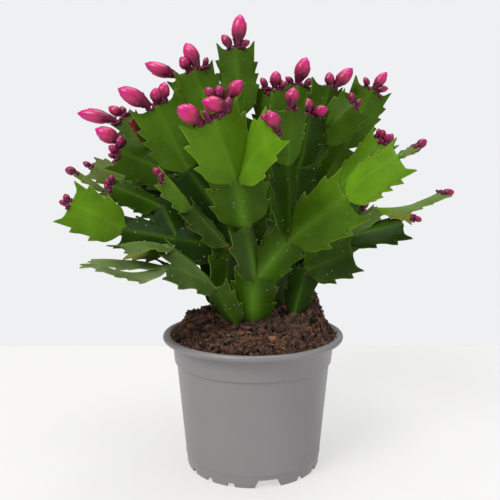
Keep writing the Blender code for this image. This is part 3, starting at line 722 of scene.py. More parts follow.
def pot_profile():
    """Radius and height pairs, from the floor up the inside, over the rim and down."""
    bead = [
        on_circle(BEAD, math.radians(150 - 25 * step), x=RIM_RADIUS - BEAD, y=RIM_TOP - BEAD)[:2]
        for step in range(13)
    ]
    inside = FOOT_RADIUS - WALL
    return [
        (0.0, FLOOR_TOP),
        (inside - 0.6, FLOOR_TOP),
        (inside + 0.6, FLOOR_TOP + 1.2),
        (STEP_RADIUS - WALL - 0.2, COLLAR_BOTTOM),
        (COLLAR_RADIUS - WALL + 0.4, COLLAR_TOP),
        (RIM_RADIUS - 5.8, COLLAR_TOP + 2.0),
        (RIM_RADIUS - LIP, RIM_TOP - 1.3),
        (RIM_RADIUS - 4.4, RIM_TOP - 0.6),
        *bead,
        (RIM_RADIUS - 2.8, RIM_TOP - 4.0),
        (COLLAR_RADIUS + 1.0, COLLAR_TOP + 0.3),
        (COLLAR_RADIUS + 0.2, COLLAR_TOP - 0.5),
        (COLLAR_RADIUS - 0.9, COLLAR_BOTTOM + 1.3),
        (COLLAR_RADIUS - 1.1, COLLAR_BOTTOM + 0.5),
        (STEP_RADIUS + 0.15, COLLAR_BOTTOM - 0.3),
        (STEP_RADIUS, COLLAR_BOTTOM - 0.9),
        (FOOT_RADIUS + 1.05, 8.9),
        (FOOT_RADIUS + 1.25, 8.5),
        (FOOT_RADIUS + 1.15, 7.9),
        (FOOT_RADIUS + 0.85, 7.6),
        (FOOT_RADIUS + 0.3, 1.0),
        (FOOT_RADIUS, 0.2),
        (FOOT_RADIUS - 0.3, 0.0),
        (inside + 0.1, 0.0),
        (inside, 0.2),
        (inside + 0.2, FLOOR_UNDERSIDE),
        (HUB_RADIUS + 1.0, FLOOR_UNDERSIDE),
        (HUB_RADIUS, 0.3),
        (HUB_RADIUS - 0.3, 0.0),
        (0.0, 0.0),
    ]


def notch(angle, bottom, top, height):
    """A wedge through the skirt of the foot, wider at the bottom."""
    around = math.radians(angle)
    outwards = Vector((math.sin(around), -math.cos(around), 0))
    across = Vector((math.cos(around), math.sin(around), 0))
    corners = ((-bottom / 2, -1.0), (bottom / 2, -1.0), (top / 2, height), (-top / 2, height))
    shape = Shape()
    rows = []
    for out in (-NOTCH_REACH, NOTCH_REACH):
        middle = (FOOT_RADIUS - WALL / 2 + out) * outwards
        rows.append([
            shape.add(middle + side * across + Vector((0, 0, level))) for side, level in corners
        ])
    shape.skin(rows, caps=True)
    return shape


def drain(x, y):
    """A round plug through the floor."""
    shape = Shape()
    shape.skin([
        shape.ring(DRAIN_SIDES, lambda around: on_circle(DRAIN_RADIUS, around, level, x, y))
        for level in (FLOOR_UNDERSIDE - 2, FLOOR_TOP + 2)
    ], caps=True)
    return shape


def cut(obj, shapes):
    """Cuts every shape out of the piece."""
    tools = bpy.data.collections.new("Cutters")
    bpy.context.scene.collection.children.link(tools)
    for shape in shapes:
        tools.objects.link(bpy.data.objects.new("Cutter", shape.mesh("Cutter")))
    modifier = obj.modifiers.new("Cut", "BOOLEAN")
    modifier.operation = "DIFFERENCE"
    modifier.operand_type = "COLLECTION"
    modifier.collection = tools
    modifier.solver = "EXACT"
    graph = bpy.context.evaluated_depsgraph_get()
    mesh = bpy.data.meshes.new_from_object(obj.evaluated_get(graph))
    obj.modifiers.clear()
    obj.data = mesh
    for tool in list(tools.objects):
        bpy.data.objects.remove(tool)
    bpy.data.collections.remove(tools)


def build_pot(settings):
    shape = Shape()
    first, *profile, last = pot_profile()
    rows = [
        shape.ring(settings.sides, lambda around: on_circle(radius, around, level))
        for radius, level in profile
    ]
    shape.skin(rows)
    shape.fan((0, 0, first[1]), rows[0])
    shape.fan((0, 0, last[1]), rows[-1])
    obj = shape.piece("Pot", pot_material(settings))
    cutters = []
    for angle in BIG_NOTCHES:
        cutters.append(notch(angle, *BIG_NOTCH))
        cutters += [notch(angle + step, *SMALL_NOTCH) for step in SMALL_NOTCHES]
    for i in range(DRAINS):
        x, y, _ = on_circle(DRAIN_CIRCLE, 2 * math.pi * (i + 0.5) / DRAINS)
        cutters.append(drain(x, y))
    cut(obj, cutters)
    obj.data.shade_smooth()
    obj.data.set_sharp_from_angle(angle=math.radians(SHARP_EDGE))
    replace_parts(obj, "pot")


# Peat


def mound(x, y, middle_x, middle_y, width):
    return math.exp(-((x - middle_x) ** 2 + (y - middle_y) ** 2) / (2 * width**2))


def peat_height(x, y):
    """The heaped surface: a low crown, three banks, and a dip round each foot."""
    spread = min(1.0, math.hypot(x, y) / PEAT_SPREAD)
    crown = PEAT_CROWN * (1 - spread**2)
    banks = sum(
        height * mound(x, y, middle_x, middle_y, width)
        for middle_x, middle_y, height, width in PEAT_BANKS
    )
    dips = sum(mound(x, y, *foot, DIP_WIDTH) for foot in FEET.values())
    return PEAT_EDGE + crown + banks * (1 - spread**PEAT_BRINK) - DIP_DEPTH * min(1.0, dips)


def peat_top(x, y):
    """The surface with its clods, which flatten out against the pot's wall."""
    place = Vector((x, y, 0.0))
    clods = 1.7 * noise.noise(place * 0.22) + 1.6 * noise.noise(place * 0.55 + Vector((9, 4, 2)))
    clods += 0.9 * noise.noise(place * 1.3) + 0.4 * noise.noise(place * 2.9)
    return peat_height(x, y) + clods * (0.35 + 0.65 * ease((PEAT_RADIUS - math.hypot(x, y)) / 6))


def build_peat(settings):
    """The heaped surface and a skirt down inside the pot."""
    shape = Shape("Shade")
    rows = []
    for ring in range(1, PEAT_RINGS + 1):
        row = []
        for sector in range(PEAT_SECTORS):
            around = 2 * math.pi * sector / PEAT_SECTORS
            x, y, _ = on_circle(PEAT_RADIUS * ring / PEAT_RINGS, around)
            shade = 0.5 + 0.5 * noise.noise(Vector((x, y, 30.0)) * 0.4)
            row.append(shape.add((x, y, peat_top(x, y)), Shade=shade))
        rows.append(row)
    bottom = PEAT_SKIRT[-1][1]
    for inside, level in PEAT_SKIRT:
        rows.append(shape.ring(PEAT_SECTORS, lambda around: on_circle(inside, around, level)))
    shape.skin(rows)
    shape.fan((0, 0, peat_top(0, 0)), rows[0], Shade=0.5)
    shape.fan((0, 0, bottom), rows[-1])
    material = peat_material("Peat", settings.dark, settings.light)
    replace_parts(shape.piece("Peat", material), "peat")


def spot_on_peat(chance, clear):
    """A random place on the peat that leaves room round each foot."""
    while True:
        x, y = [chance.uniform(-PEAT_RADIUS, PEAT_RADIUS) for _ in range(2)]
        if math.hypot(x, y) > PEAT_RADIUS - 1.0:
            continue
        if all(math.hypot(x - fx, y - fy) > clear for fx, fy in FEET.values()):
            return x, y


# Crumbs, fibres and bark


def ball():
    """Points and faces of a small round body, to be squashed and roughened."""
    bm = bmesh.new()
    bmesh.ops.create_icosphere(bm, subdivisions=2, radius=1.0)
    points = [vertex.co.copy() for vertex in bm.verts]
    faces = [tuple(vertex.index for vertex in face.verts) for face in bm.faces]
    bm.free()
    return points, faces


def add_lump(shape, chance, template, middle, sizes, shade, roughness):
    """A ball squashed to three sizes along three square directions, turned any way."""
    first = any_way(chance).normalized()
    second = first.orthogonal().normalized()
    turn = chance.uniform(0, 2 * math.pi)
    second = math.cos(turn) * second + math.sin(turn) * first.cross(second)
    third = first.cross(second)
    shift = jitter(chance, 50)
    start = len(shape.points)
    for point in template[0]:
        swell = 1 + roughness * noise.noise(point * 1.9 + shift)
        offset = first * point.x * sizes[0] + second * point.y * sizes[1]
        offset += third * point.z * sizes[2]
        shape.add(middle + swell * offset, Shade=shade)
    shape.copy(template[1], start)


def build_crumbs(settings):
    """Loose crumbs of peat over the whole surface, many small and a few large."""
    chance = random.Random("crumbs")
    template = ball()
    shape = Shape("Shade")
    for _ in range(settings.crumbs):
        x, y = spot_on_peat(chance, 2.5)
        size = settings.crumb_size / MM * (0.22 + 0.8 * chance.random() ** 3)
        sizes = [size * chance.uniform(0.45, 1.35) for _ in range(3)]
        middle = Vector((x, y, peat_top(x, y) + 0.3 * size))
        add_lump(shape, chance, template, middle, sizes, chance.random(), 1.5)
    brink = RIM_RADIUS - LIP
    for _ in range(settings.brink_crumbs):
        around = chance.uniform(0, 2 * math.pi)
        radius = chance.uniform(PEAT_RADIUS - 2.5, brink)
        size = chance.uniform(0.7, 1.9)
        sizes = [size * chance.uniform(0.5, 1.3) for _ in range(3)]
        level = RIM_TOP - 2.0 + (brink - radius) * chance.uniform(0.0, 0.8)
        middle = Vector(on_circle(radius, around, level))
        add_lump(shape, chance, template, middle, sizes, chance.random(), 1.2)
    material = peat_material("Peat Crumbs", settings.dark, settings.light)
    shape.piece("Crumbs", material)


def add_thread(shape, path, radius, shade):
    """A thin round thread that tapers at both ends."""
    rows = []
    last = len(path) - 1
    for i, point in enumerate(path):
        forward = (path[min(i + 1, last)] - path[max(i - 1, 0)]).normalized()
        side = forward.cross(UP)
        side = side.normalized() if side.length > 0.01 else forward.orthogonal().normalized()
        up = side.cross(forward)
        thick = radius * (0.35 if i in (0, last) else 1.0)
        rows.append(shape.ring(
            4, lambda turn: point + thick * (math.cos(turn) * side + math.sin(turn) * up),
            Shade=shade,
        ))
    shape.skin(rows, caps=True)


def build_fibres(settings):
    """Moss fibres that lie on the peat and stick out of it."""
    chance = random.Random("fibres")
    shape = Shape("Shade")
    for _ in range(settings.fibres):
        x, y = spot_on_peat(chance, 3.5)
        length = 2 + 8 * chance.random() ** 2.5
        heading = chance.uniform(0, 2 * math.pi)
        bend = chance.uniform(-1.4, 1.4)
        rise = chance.choice((0.05, 0.15, 0.55)) * min(length, 6.0)
        path = []
        for i in range(6):
            along = i / 5
            px, py, _ = on_circle(length * along, heading + bend * along, x=x, y=y)
            if math.hypot(px, py) > PEAT_RADIUS - 0.5:
                break
            lift = 0.7 + rise * along**2 + 0.5 * math.sin(math.pi * along)
            path.append(Vector((px, py, peat_top(px, py) + lift)))
        if len(path) > 2:
            add_thread(shape, path, chance.uniform(0.09, 0.26), chance.random())
    material = peat_material("Peat Fibres", settings.light, settings.straw)
    shape.piece("Fibres", material)


def build_chips(settings):
    """Flat chips and twigs of reddish bark among the crumbs."""
    chance = random.Random("chips")
    shape = Shape("Shade")
    template = ball()
    places = list(LARGE_CHIPS)
    for _ in range(settings.chips):
        sizes = (chance.uniform(1.6, 4.5), chance.uniform(0.9, 2.0), chance.uniform(0.35, 0.9))
        places.append((spot_on_peat(chance, 5.0), sizes))
    for (x, y), sizes in places:
        middle = Vector((x, y, peat_top(x, y) + 0.7 * sizes[2] + 0.4))
        heading = chance.uniform(0, math.pi)
        first = Vector(on_circle(1.0, heading, chance.uniform(-0.35, 0.35))).normalized()
        third = first.cross(UP).normalized().cross(first)
        second = third.cross(first)
        shift = jitter(chance, 50)
        start = len(shape.points)
        shade = chance.random()
        for point in template[0]:
            boxy = Vector([math.copysign(abs(part) ** 0.55, part) for part in point])
            swell = 1 + 0.4 * noise.noise(point * 2.2 + shift)
            offset = first * boxy.x * sizes[0] + second * boxy.y * sizes[1]
            shape.add(middle + swell * offset + third * boxy.z * sizes[2], Shade=shade)
        shape.copy(template[1], start)
    material = peat_material("Bark", settings.bark_dark, settings.bark)
    shape.piece("Bark_Chips", material)


# Stem segments


class Segment:
    """A flat stem segment, placed by its base, its axis and the way its face looks."""

    def __init__(
        self, base, order, generation, length, width, heading, lean, look, tilt,
        bow=0, cup=2, teeth=2,
    ):
        self.base, self.length, self.half = Vector(base), length, width / 2
        self.order, self.generation = order, generation
        self.bow, self.cup = bow, cup
        self.axis = direction(heading, lean)
        facing = direction(look, 90 - tilt)
        self.face = (facing - facing.dot(self.axis) * self.axis).normalized()
        self.side = self.axis.cross(self.face)
        self.tip = self.base + self.length * self.axis
        stagger = TOOTH_STAGGER if order % 2 else -TOOTH_STAGGER
        self.teeth = {
            side: [FIRST_TOOTH + TOOTH_RUN * k / (teeth - 1) + side * stagger for k in range(teeth)]
            for side in (1, -1)
        }

    def place(self, sideways, along, out):
        """A point of the bent blade, from fractions of its half width and length."""
        distance = along * self.length - (SUNK if along <= 0 else 0.0)
        lift = self.bow * math.sin(math.pi * min(1.0, max(0.0, along)))
        out += lift - self.cup * sideways**2
        level = self.base + distance * self.axis
        return level + sideways * self.half * self.side + out * self.face

    def fork(self, axis):
        """Where a segment with this axis grows from the tip: to the side it leans."""
        sideways = FORK_SPREAD * axis.dot(self.side) * self.side
        out = FORK_OUT * axis.dot(self.face) * self.face
        return self.tip - FORK_SUNK * self.axis + sideways + out

    def width(self, along, side):
        """How wide the blade is there, towards its right (1) or left (-1) edge."""
        if along < SHOULDER:
            rise = 1 - (1 - max(0.0, along) / SHOULDER) ** NECK_CURVE
            return NECK_WIDTH + (VALLEY_WIDTH - NECK_WIDTH) * rise
        start = SHOULDER
        for tooth in self.teeth[side]:
            if along <= tooth:
                rise = (along - start) / (tooth - start)
                return VALLEY_WIDTH + (1 - VALLEY_WIDTH) * (0.35 * rise + 0.65 * rise**3)
            start = tooth + TOOTH_NOTCH
            if along < start:
                return 1 - (1 - VALLEY_WIDTH) * (along - tooth) / TOOTH_NOTCH
        return VALLEY_WIDTH + (CLAW_WIDTH - VALLEY_WIDTH) * (along - start) / (1 - start)

    def hook(self, along, side):
        """How far a tooth's point is drawn forwards, as a fraction of the length."""
        near = [max(0.0, 1 - abs(along - tooth) / HOOK_RUN) for tooth in self.teeth[side]]
        return TOOTH_HOOK * max(near)

    def rows(self):
        """Fractions of the length where the blade has a row of points, close at the teeth."""
        rows = {round(i / BLADE_ROWS, 4) for i in range(BLADE_ROWS + 1)} | {0.02, 0.97}
        for side in (1, -1):
            for tooth in self.teeth[side]:
                steps = (-0.02, -0.008, 0.0, 0.01, TOOTH_NOTCH)
                rows |= {round(tooth + step, 4) for step in steps}
        ordered = sorted(rows)
        return [row for i, row in enumerate(ordered) if i == 0 or row - ordered[i - 1] > 0.004]


def segments_of(cutting):
    """The cutting's segments by name. Each stands on its parent's tip, to the side it leans."""
    x, y = FEET[cutting]
    foot = (x, y, peat_height(x, y) + FOOT_CLEARANCE)
    placed = {}
    for order, row in enumerate(SEGMENTS[cutting]):
        name, parent, _, _, heading, lean = row[:6]
        base, generation = foot, 0
        if parent:
            base = placed[parent].fork(direction(heading, lean))
            generation = placed[parent].generation + 1
        placed[name] = Segment(base, order, generation, *row[2:])
    return placed


def rib_band_and_light_of(off_rib, along, band_and_light):
    """The pale band along the rib: narrow everywhere, broad and bright where it stands out.
    The narrow band is the rib's paler skin; the broad one is partly that and partly painted
    light, brightest at the base.
    """
    narrow = 0.35 * bell(off_rib, 1.4) * (1 - 0.7 * along)
    broad = band_and_light * bell(off_rib, 2.0 + 3.0 * band_and_light) * (1 - 0.6 * ease(along))
    return max(narrow, broad)


def add_blade(shape, segment, look, settings):
    """One closed blade: two skins that meet in a thin rim, ridged along the rib."""
    # The first value is freshness with painted shade on the segments inside.
    fresh_and_shade, blush, band_and_light, painted_sheen = look
    chance = random.Random(segment.order)
    phase, waves = chance.uniform(0, 6), chance.uniform(1.3, 2.4)
    wave = chance.uniform(0.3, 0.8)
    shift = jitter(chance, 50)
    skins = {1: [], -1: []}
    for along in segment.rows():
        rows = {1: [], -1: []}
        for column in [-c for c in COLUMNS[:0:-1]] + list(COLUMNS):
            side = 1 if column >= 0 else -1
            outer = abs(column)
            sideways = column * segment.width(along, side)
            off_rib = sideways * segment.half
            hook = segment.hook(along, side)
            claw = (CLAW_REACH - 1) * ease((outer - 0.52) / 0.48) ** 1.5
            reach = along + claw * ease((along - CLAW_START) / (1 - CLAW_START))
            reach += hook * ease((outer - 0.82) / 0.18)
            reach += 0.02 * bell(column, 0.12) * ease((along - 0.9) / 0.1)
            rib = bell(off_rib, RIB_WIDTH) * (1 - 0.55 * along)
            flesh = FLESH * (1 - outer**2) + settings.edge_thickness / MM
            thick = flesh + settings.rib_height / MM * rib
            thick *= 1 - 0.45 * ease((outer - 0.9) / 0.1)
            ripple = wave * math.sin(waves * 2 * math.pi * along + phase) * outer**3
            ripple += 0.35 * noise.noise(segment.place(sideways, along, 0) * 0.09 + shift)
            ripple += FOLD * (segment.half / 2 - math.hypot(off_rib, 1.0))
            ripple *= ease(along / 0.3)
            joint = 1 - ease(along / 0.035)
            tooth = ease((hook - 0.03) / 0.015) * (outer > 0.97)
            horn = ease((reach - 1.08) / 0.05) * ease((outer - 0.85) / 0.15)
            # Among these values is a painted grey-green sheen, kept for each point.
            keep = {
                "Fresh": fresh_and_shade, "Blush": blush * ease((along - 0.1) / 0.6),
                "Rim": outer if along > 0.1 else 0.0,
                "Rib": rib_band_and_light_of(off_rib, along, band_and_light), "Bloom": painted_sheen,
                "Age": max(0.0, 1 - 2.5 * fresh_and_shade), "Cork": 0.6 * max(joint, tooth, horn),
            }
            for skin in (1, -1):
                point = segment.place(sideways, reach, ripple + skin * thick / 2)
                rows[skin].append(shape.add(point, **keep))
        for skin in (1, -1):
            skins[skin].append(rows[skin])
    for skin in (1, -1):
        shape.skin(skins[skin], closed=False)
    for edge in (0, -1):
        sides = [[row[edge] for row in skins[skin]] for skin in (1, -1)]
        shape.skin(sides, closed=False)
        shape.skin([skins[1][edge], skins[-1][edge]], closed=False)


def add_foot(shape, cutting):
    """The short round stalk that goes down into the peat."""
    x, y = FEET[cutting]
    top = peat_height(x, y) + FOOT_CLEARANCE + 1.0
    shape.skin([
        shape.ring(12, lambda turn: on_circle(radius, turn, level, x, y), Cork=0.7, Age=1.0)
        for level, radius in ((top - FOOT_DEPTH, 2.2), (top - 4, 2.6), (top - 1, 2.5), (top, 1.6))
    ], caps=True)


def build_stems(settings):
    material = stem_material(settings)
    for cutting in SEGMENTS:
        shape = Shape("Fresh", "Blush", "Rim", "Rib", "Bloom", "Age", "Cork")
        add_foot(shape, cutting)
        for name, segment in segments_of(cutting).items():
            usual = (OLD + FRESHENING * segment.generation, 0.0, PLAIN_BAND, 0.0)
            look = [
                table.get(cutting, {}).get(name, value)
                for table, value in zip((FRESH_AND_SHADE, BLUSH, RIB_BAND_AND_LIGHT, PAINTED_SHEEN), usual)
            ]
            add_blade(shape, segment, look, settings)
        obj = shape.piece("Stem_" + cutting, material)
        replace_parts(obj, "stem_" + cutting)


def build_areoles(settings):
    """A woolly dot and a few short bristles in every notch."""
    chance = random.Random("areoles")
    template = ball()
    shape = Shape("Shade")
    segments = [segment for cutting in SEGMENTS for segment in segments_of(cutting).values()]
    notches = [
        (segment, side, tooth + TOOTH_NOTCH + 0.005)
        for segment in segments for side, teeth in segment.teeth.items() for tooth in teeth
    ]
    for segment, side, along in notches:
        spot = segment.place(side * (VALLEY_WIDTH - 0.01), along, 0)
        outwards = (side * segment.side + 0.7 * segment.axis).normalized()
        add_lump(shape, chance, template, spot, (0.42, 0.36, 0.36), 0.1, 0.3)
        for _ in range(settings.bristles):
            spray = outwards + 0.5 * any_way(chance)
            tip = spot + chance.uniform(0.8, 2.0) * spray.normalized()
            add_thread(shape, [spot, (spot + tip) / 2, tip], 0.07, chance.random())
    material = peat_material("Areole Wool", settings.cork, settings.wool)
    shape.piece("Areoles", material)


# Flower buds


def add_bud(shape, base, axis, length, width, ripe, chance, dark=0.0):
    """A bud: a core with petals wrapped round it, the outer ones short and dark."""
    across = axis.orthogonal().normalized()
    up = axis.cross(across)
    outline, reaches = (RIPE_OUTLINE, RIPE_PETALS) if ripe > 0.5 else (YOUNG_OUTLINE, YOUNG_PETALS)
    bend = 0.05 * length * jitter(chance, 1)
    turn = chance.uniform(0, 2 * math.pi)

    def add(around, along, lift, shown, share):
        radius = width / 2 * between(along, outline) * (1 + lift)
        arm = math.cos(around) * across + math.sin(around) * up
        point = base + along * length * axis + math.sin(math.pi * along / 2) * bend + radius * arm
        return shape.add(point, Along=shown, Around=share, Ripe=ripe, Dark=dark)

    shape.skin([
        [add(2 * math.pi * i / BUD_SIDES, along, 0, along, i / BUD_SIDES) for i in range(BUD_SIDES)]
        for along in [ring / BUD_RINGS for ring in range(BUD_RINGS + 1)]
    ], caps=True)
    for number, reach in enumerate(reaches):
        middle = turn + number * GOLDEN_ANGLE
        wide = 1.15 if reach > 0.5 else 0.85
        lift = 0.03 + 0.018 * number
        rows = []
        for i in range(9):
            along = reach * i / 8
            taper = math.sqrt(max(0.0, 1 - (i / 8) ** 3.2))
            row = []
            for off in [(k - 3) / 3 for k in range(7)]:
                around = middle + wide * taper * off
                height = lift * (1 - 0.8 * off**2) + 0.05 * (i / 8) ** 4 * (reach < 0.9)
                shown = along * (0.45 + 0.55 * reach)
                row.append(add(around, along, height, shown, (around / (2 * math.pi)) % 1.0))
            rows.append(row)
        shape.skin(rows, closed=False)


def build_buds(settings):
    material = bud_material(settings)
    clusters = [(cutting, name) for cutting, named in BUDS.items() for name in named]
    for cutting, name in clusters:
        buds = BUDS[cutting][name]
        chance = random.Random(cutting + name)
        segment = segments_of(cutting)[name]
        seat = segment.tip + (CUSHION_RADIUS + CUSHION_CLEARANCE) * segment.axis
        shape = Shape("Along", "Around", "Ripe", "Dark")
        for sideways, forwards, length, width, heading, lean in buds:
            axis = direction(heading, lean)
            base = seat + sideways * segment.side + forwards * 0.3 * segment.face
            ripe = min(1.0, max(0.0, (length - 5) / 9))
            base -= BUD_SUNK * axis
            add_bud(shape, base, axis, length + BUD_SUNK, width, ripe, chance)
        spread = [bud[0] for bud in buds]
        low, high = min(spread) - 2.2, max(spread) + 2.2
        for _ in range(round(settings.scales * (high - low) / 10)):
            spot = segment.tip + chance.uniform(low, high) * segment.side
            spot += chance.uniform(-1.1, 1.1) * segment.face
            spray = segment.axis + 0.6 * any_way(chance)
            size = chance.uniform(2.4, 4.2)
            base = spot - 0.6 * segment.axis
            add_bud(shape, base, spray.normalized(), size, 0.62 * size, 0.0, chance, 1.0)
        obj = shape.piece(f"Buds_{cutting}_{name}", material)
        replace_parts(obj, f"buds_{cutting}_{name}")


# Stage


def flat_material(name, colour, glow):
    """A matt sheet with painted light: it glows a little though it is no lamp, so shadows on it
    stay pale.
    """
    skin = Skin(name, Roughness=0.45, Emission_Color=colour, Emission_Strength=glow)
    blotches, _ = skin.mottle(3.0, 400.0, 0.5)
    paler = [part * (1.0 - glow) * 0.93 for part in colour]
    darker = [part * 0.985 for part in paler]
    skin.set(skin.shader, {"Base Color": skin.mix(blotches, darker, paler)})
    return skin.material


def add_light(name, location, size, power, colour):
    light = bpy.data.lights.new(name, "AREA")
    light.energy, light.size, light.color = power, size, colour
    obj = bpy.data.objects.new(name, light)
    obj.location = location
    aim = Vector(LIGHTS_AIM) - Vector(location)
    obj.rotation_euler = aim.to_track_quat("-Z", "Y").to_euler()
    bpy.context.scene.collection.objects.link(obj)


def build_stage(settings):
    scene = bpy.context.scene
    scene.view_settings.view_transform = "Standard"
    world = bpy.data.worlds.new("Studio")
    world.use_nodes = True
    nodes = Nodes(world.node_tree)
    seen = nodes.add("LightPath").outputs["Is Camera Ray"]
    strength = nodes.remap(seen, 0.0, 1.0, settings.ambient, 1.0)
    background = world.node_tree.nodes["Background"]
    nodes.set(background, {"Color": settings.backdrop, "Strength": strength})
    scene.world = world

    bpy.ops.mesh.primitive_grid_add(x_subdivisions=2, y_subdivisions=2, size=1.0)
    floor = bpy.context.object
    floor.name = "Floor"
    near, far = TABLE_FRONT, settings.table_edge
    floor.scale = (TABLE_WIDTH, far - near, 1.0)
    floor.location = (0.0, (far + near) / 2, 0.0)
    floor.data.materials.append(flat_material("Pale Table", settings.floor, TABLE_GLOW))

    add_light("Key", (-1.2, -1.5, 1.9), 1.1, settings.key, (1.0, 0.99, 0.97))
    add_light("Fill", (1.7, -1.3, 0.9), 1.5, settings.fill, (0.97, 0.98, 1.0))
    add_light("Top", (0.1, 0.1, 2.0), 1.2, settings.top, (1.0, 1.0, 1.0))

    camera = bpy.data.cameras.new("Camera")
    camera.lens = settings.lens
    camera.sensor_width = 36.0
    camera.clip_start = 0.01
    obj = bpy.data.objects.new("Camera", camera)
    obj.location = (CAMERA_SHIFT, -settings.distance, settings.height)
    obj.rotation_euler = (math.radians(90 - CAMERA_DIP), 0.0, 0.0)
    scene.collection.objects.link(obj)
    scene.camera = obj


# Settings


def colour(name, description, default):
    return FloatVectorProperty(
        name=name, description=description, default=default, subtype="COLOR", size=3,
        min=0.0, max=1.0,
    )


def length(name, description, default):
    return FloatProperty(
        name=name, description=description, default=default, unit="LENGTH", min=0.0
    )


def number(name, description, default, **limits):
    return FloatProperty(name=name, description=description, default=default, **limits)


def count(name, description, default, **limits):
    return IntProperty(name=name, description=description, default=default, **limits)


class CactusPotSettings(bpy.types.PropertyGroup):
    sides: count("Sides", "Flats round the turned pot", 144, min=24, max=256)
    plastic: colour("Plastic", "Colour of the moulded plastic", (0.214, 0.204, 0.208))
    roughness: number(
        "Roughness", "How matt the plastic is", 0.38, min=0.1, max=0.9, subtype="FACTOR"
    )


class CactusPeatSettings(bpy.types.PropertyGroup):
    crumbs: count("Crumbs", "How many crumbs", 2000, min=0)
    brink_crumbs: count("Brink Crumbs", "Crumbs along the rim", 620, min=0)
    crumb_size: length("Crumb Size", "Radius of a large crumb", 0.0031)
    fibres: count("Fibres", "How many fibres", 1500, min=0)
    chips: count("Chips", "How many chips of bark", 46, min=0)
    dark: colour("Damp Peat", "Colour in the hollows", (0.007, 0.003, 0.002))
    light: colour("Dry Peat", "Colour on the crumbs", (0.135, 0.056, 0.030))
    straw: colour("Straw", "Colour of the palest fibres", (0.36, 0.22, 0.12))
    bark: colour("Bark", "Colour of fresh bark", (0.30, 0.125, 0.065))
    bark_dark: colour("Old Bark", "Colour of weathered bark", (0.09, 0.038, 0.022))


class CactusStemSettings(bpy.types.PropertyGroup):
    # Darkest skin: old segments, and painted shade on the segments inside.
    old_and_shaded_green: colour("Old Green", "Skin of old segments", (0.008, 0.026, 0.0010))
    fresh_green: colour("Fresh Green", "Skin of new segments", (0.185, 0.400, 0.014))
    # Paler rib skin, also used for painted light along the rib.
    rib_and_light_green: colour("Rib", "Paler skin along the rib", (0.13, 0.30, 0.022))
    rim_green: colour("Rim", "Thin skin at the edge", (0.30, 0.40, 0.05))
    blush: colour("Blush", "Red of segments grown in sun", (0.24, 0.035, 0.030))
    # Colour of the painted sheen on the skin.
    painted_sheen: colour("Bloom", "Grey of dry, dusty skin", (0.24, 0.30, 0.14))
    cork: colour("Cork", "Brown of joints and points", (0.13, 0.085, 0.035))
    wool: colour("Wool", "Hairs in the notches", (0.30, 0.23, 0.13))
    edge_thickness: length("Edge", "Thickness of the blade at its edge", 0.0008)
    rib_height: length("Rib Height", "How far the rib adds to the thickness", 0.0013)
    bristles: count("Bristles", "Bristles in a notch", 3, min=0)


class CactusBudSettings(bpy.types.PropertyGroup):
    base_colour: colour("Base", "Maroon at a bud's base", (0.060, 0.002, 0.010))
    flesh: colour("Flesh", "Salmon in the middle of a ripe bud", (0.60, 0.030, 0.120))
    tip_colour: colour("Tip", "Magenta towards the tip", (0.60, 0.008, 0.200))
    small_bud: colour("Small Bud", "Crimson of unripe buds", (0.25, 0.005, 0.050))
    scale_colour: colour("Scales", "Dark scales round the buds", (0.042, 0.002, 0.009))
    scales: count("Scales", "Scales along 10 mm of a cluster", 26, min=0)


class CactusStageSettings(bpy.types.PropertyGroup):
    floor: colour("Table", "Colour of the pale table", (0.90, 0.895, 0.885))
    backdrop: colour("Backdrop", "Colour all round", (0.865, 0.872, 0.888))
    ambient: number("Ambient", "Light from all round", 0.37)
    key: number("Key", "Power of the light at front left", 47.0)
    fill: number("Fill", "Power of the light at right", 8.0)
    top: number("Top", "Power of the light above", 21.0)
    table_edge: length("Table Edge", "How far back the table reaches", 0.276)
    lens: number("Lens", "Focal length in millimetres", 46.08)
    distance: length("Distance", "Camera to the pot's axis", 0.420)
    height: length("Height", "Camera above the table", 0.198)


# Operators


class CactusAddPot(bpy.types.Operator):
    """Add the turned nursery pot, with its notched foot and drain holes"""

    bl_idname = "cactus.add_pot"
    bl_label = "Add Pot"

    def execute(self, context):
        build_pot(context.scene.cactus_pot)
        return {"FINISHED"}


class CactusAddPeat(bpy.types.Operator):
    """Add the heaped peat that fills the pot"""

    bl_idname = "cactus.add_peat"
    bl_label = "Add Peat"

    def execute(self, context):
        build_peat(context.scene.cactus_peat)
        return {"FINISHED"}


class CactusAddLitter(bpy.types.Operator):
    """Add the crumbs, fibres and chips of bark that lie on the peat"""

    bl_idname = "cactus.add_litter"
    bl_label = "Add Crumbs, Fibres and Bark"

    def execute(self, context):
        for build in (build_crumbs, build_fibres, build_chips):
            build(context.scene.cactus_peat)
        return {"FINISHED"}


class CactusAddStems(bpy.types.Operator):
    """Add the leafy cuttings, segment by segment"""

    bl_idname = "cactus.add_stems"
    bl_label = "Add Stems"

    def execute(self, context):
        build_stems(context.scene.cactus_stem)
        return {"FINISHED"}


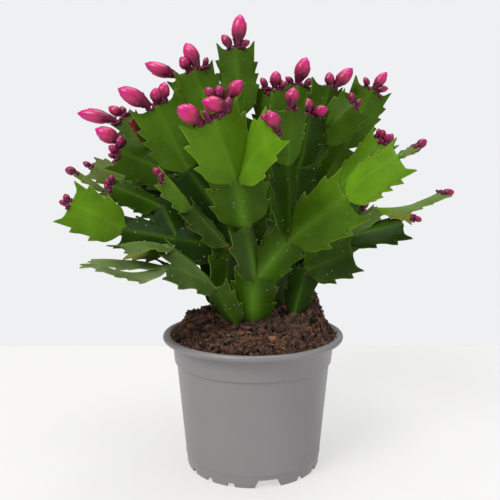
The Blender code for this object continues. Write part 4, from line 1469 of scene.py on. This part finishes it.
class CactusAddAreoles(bpy.types.Operator):
    """Add the woolly dots and bristles in the notches of the segments"""

    bl_idname = "cactus.add_areoles"
    bl_label = "Add Areoles"

    def execute(self, context):
        build_areoles(context.scene.cactus_stem)
        return {"FINISHED"}


class CactusAddBuds(bpy.types.Operator):
    """Add the clusters of flower buds at the tips"""

    bl_idname = "cactus.add_buds"
    bl_label = "Add Buds"

    def execute(self, context):
        build_buds(context.scene.cactus_bud)
        return {"FINISHED"}


class CactusAddStage(bpy.types.Operator):
    """Add the pale table, the soft lights and the camera"""

    bl_idname = "cactus.add_stage"
    bl_label = "Add Stage"

    def execute(self, context):
        build_stage(context.scene.cactus_stage)
        return {"FINISHED"}


OPERATORS = (
    CactusAddPot, CactusAddPeat, CactusAddLitter, CactusAddStems, CactusAddAreoles,
    CactusAddBuds, CactusAddStage,
)
SETTINGS = {
    "cactus_pot": CactusPotSettings,
    "cactus_peat": CactusPeatSettings,
    "cactus_stem": CactusStemSettings,
    "cactus_bud": CactusBudSettings,
    "cactus_stage": CactusStageSettings,
}


class CactusPanel(bpy.types.Panel):
    """Lists the cactus's settings and the operators that use them"""

    bl_idname = "VIEW3D_PT_cactus"
    bl_label = "Christmas Cactus"
    bl_space_type = "VIEW_3D"
    bl_region_type = "UI"
    bl_category = "Cactus"

    def draw(self, context):
        for name, group in SETTINGS.items():
            box = self.layout.box()
            for key in group.__annotations__:
                box.prop(getattr(context.scene, name), key)
        for operator in OPERATORS:
            self.layout.operator(operator.bl_idname)


def register():
    for kind in (*SETTINGS.values(), *OPERATORS, CactusPanel):
        bpy.utils.register_class(kind)
    for name, group in SETTINGS.items():
        setattr(bpy.types.Scene, name, PointerProperty(type=group))


def unregister():
    for name in SETTINGS:
        delattr(bpy.types.Scene, name)
    for kind in (CactusPanel, *OPERATORS, *SETTINGS.values()):
        bpy.utils.unregister_class(kind)


def main():
    register()
    bpy.ops.cactus.add_pot()
    bpy.ops.cactus.add_peat()
    bpy.ops.cactus.add_litter()
    bpy.ops.cactus.add_stems()
    bpy.ops.cactus.add_areoles()
    bpy.ops.cactus.add_buds()
    bpy.ops.cactus.add_stage()


if __name__ == "__main__":
    main()
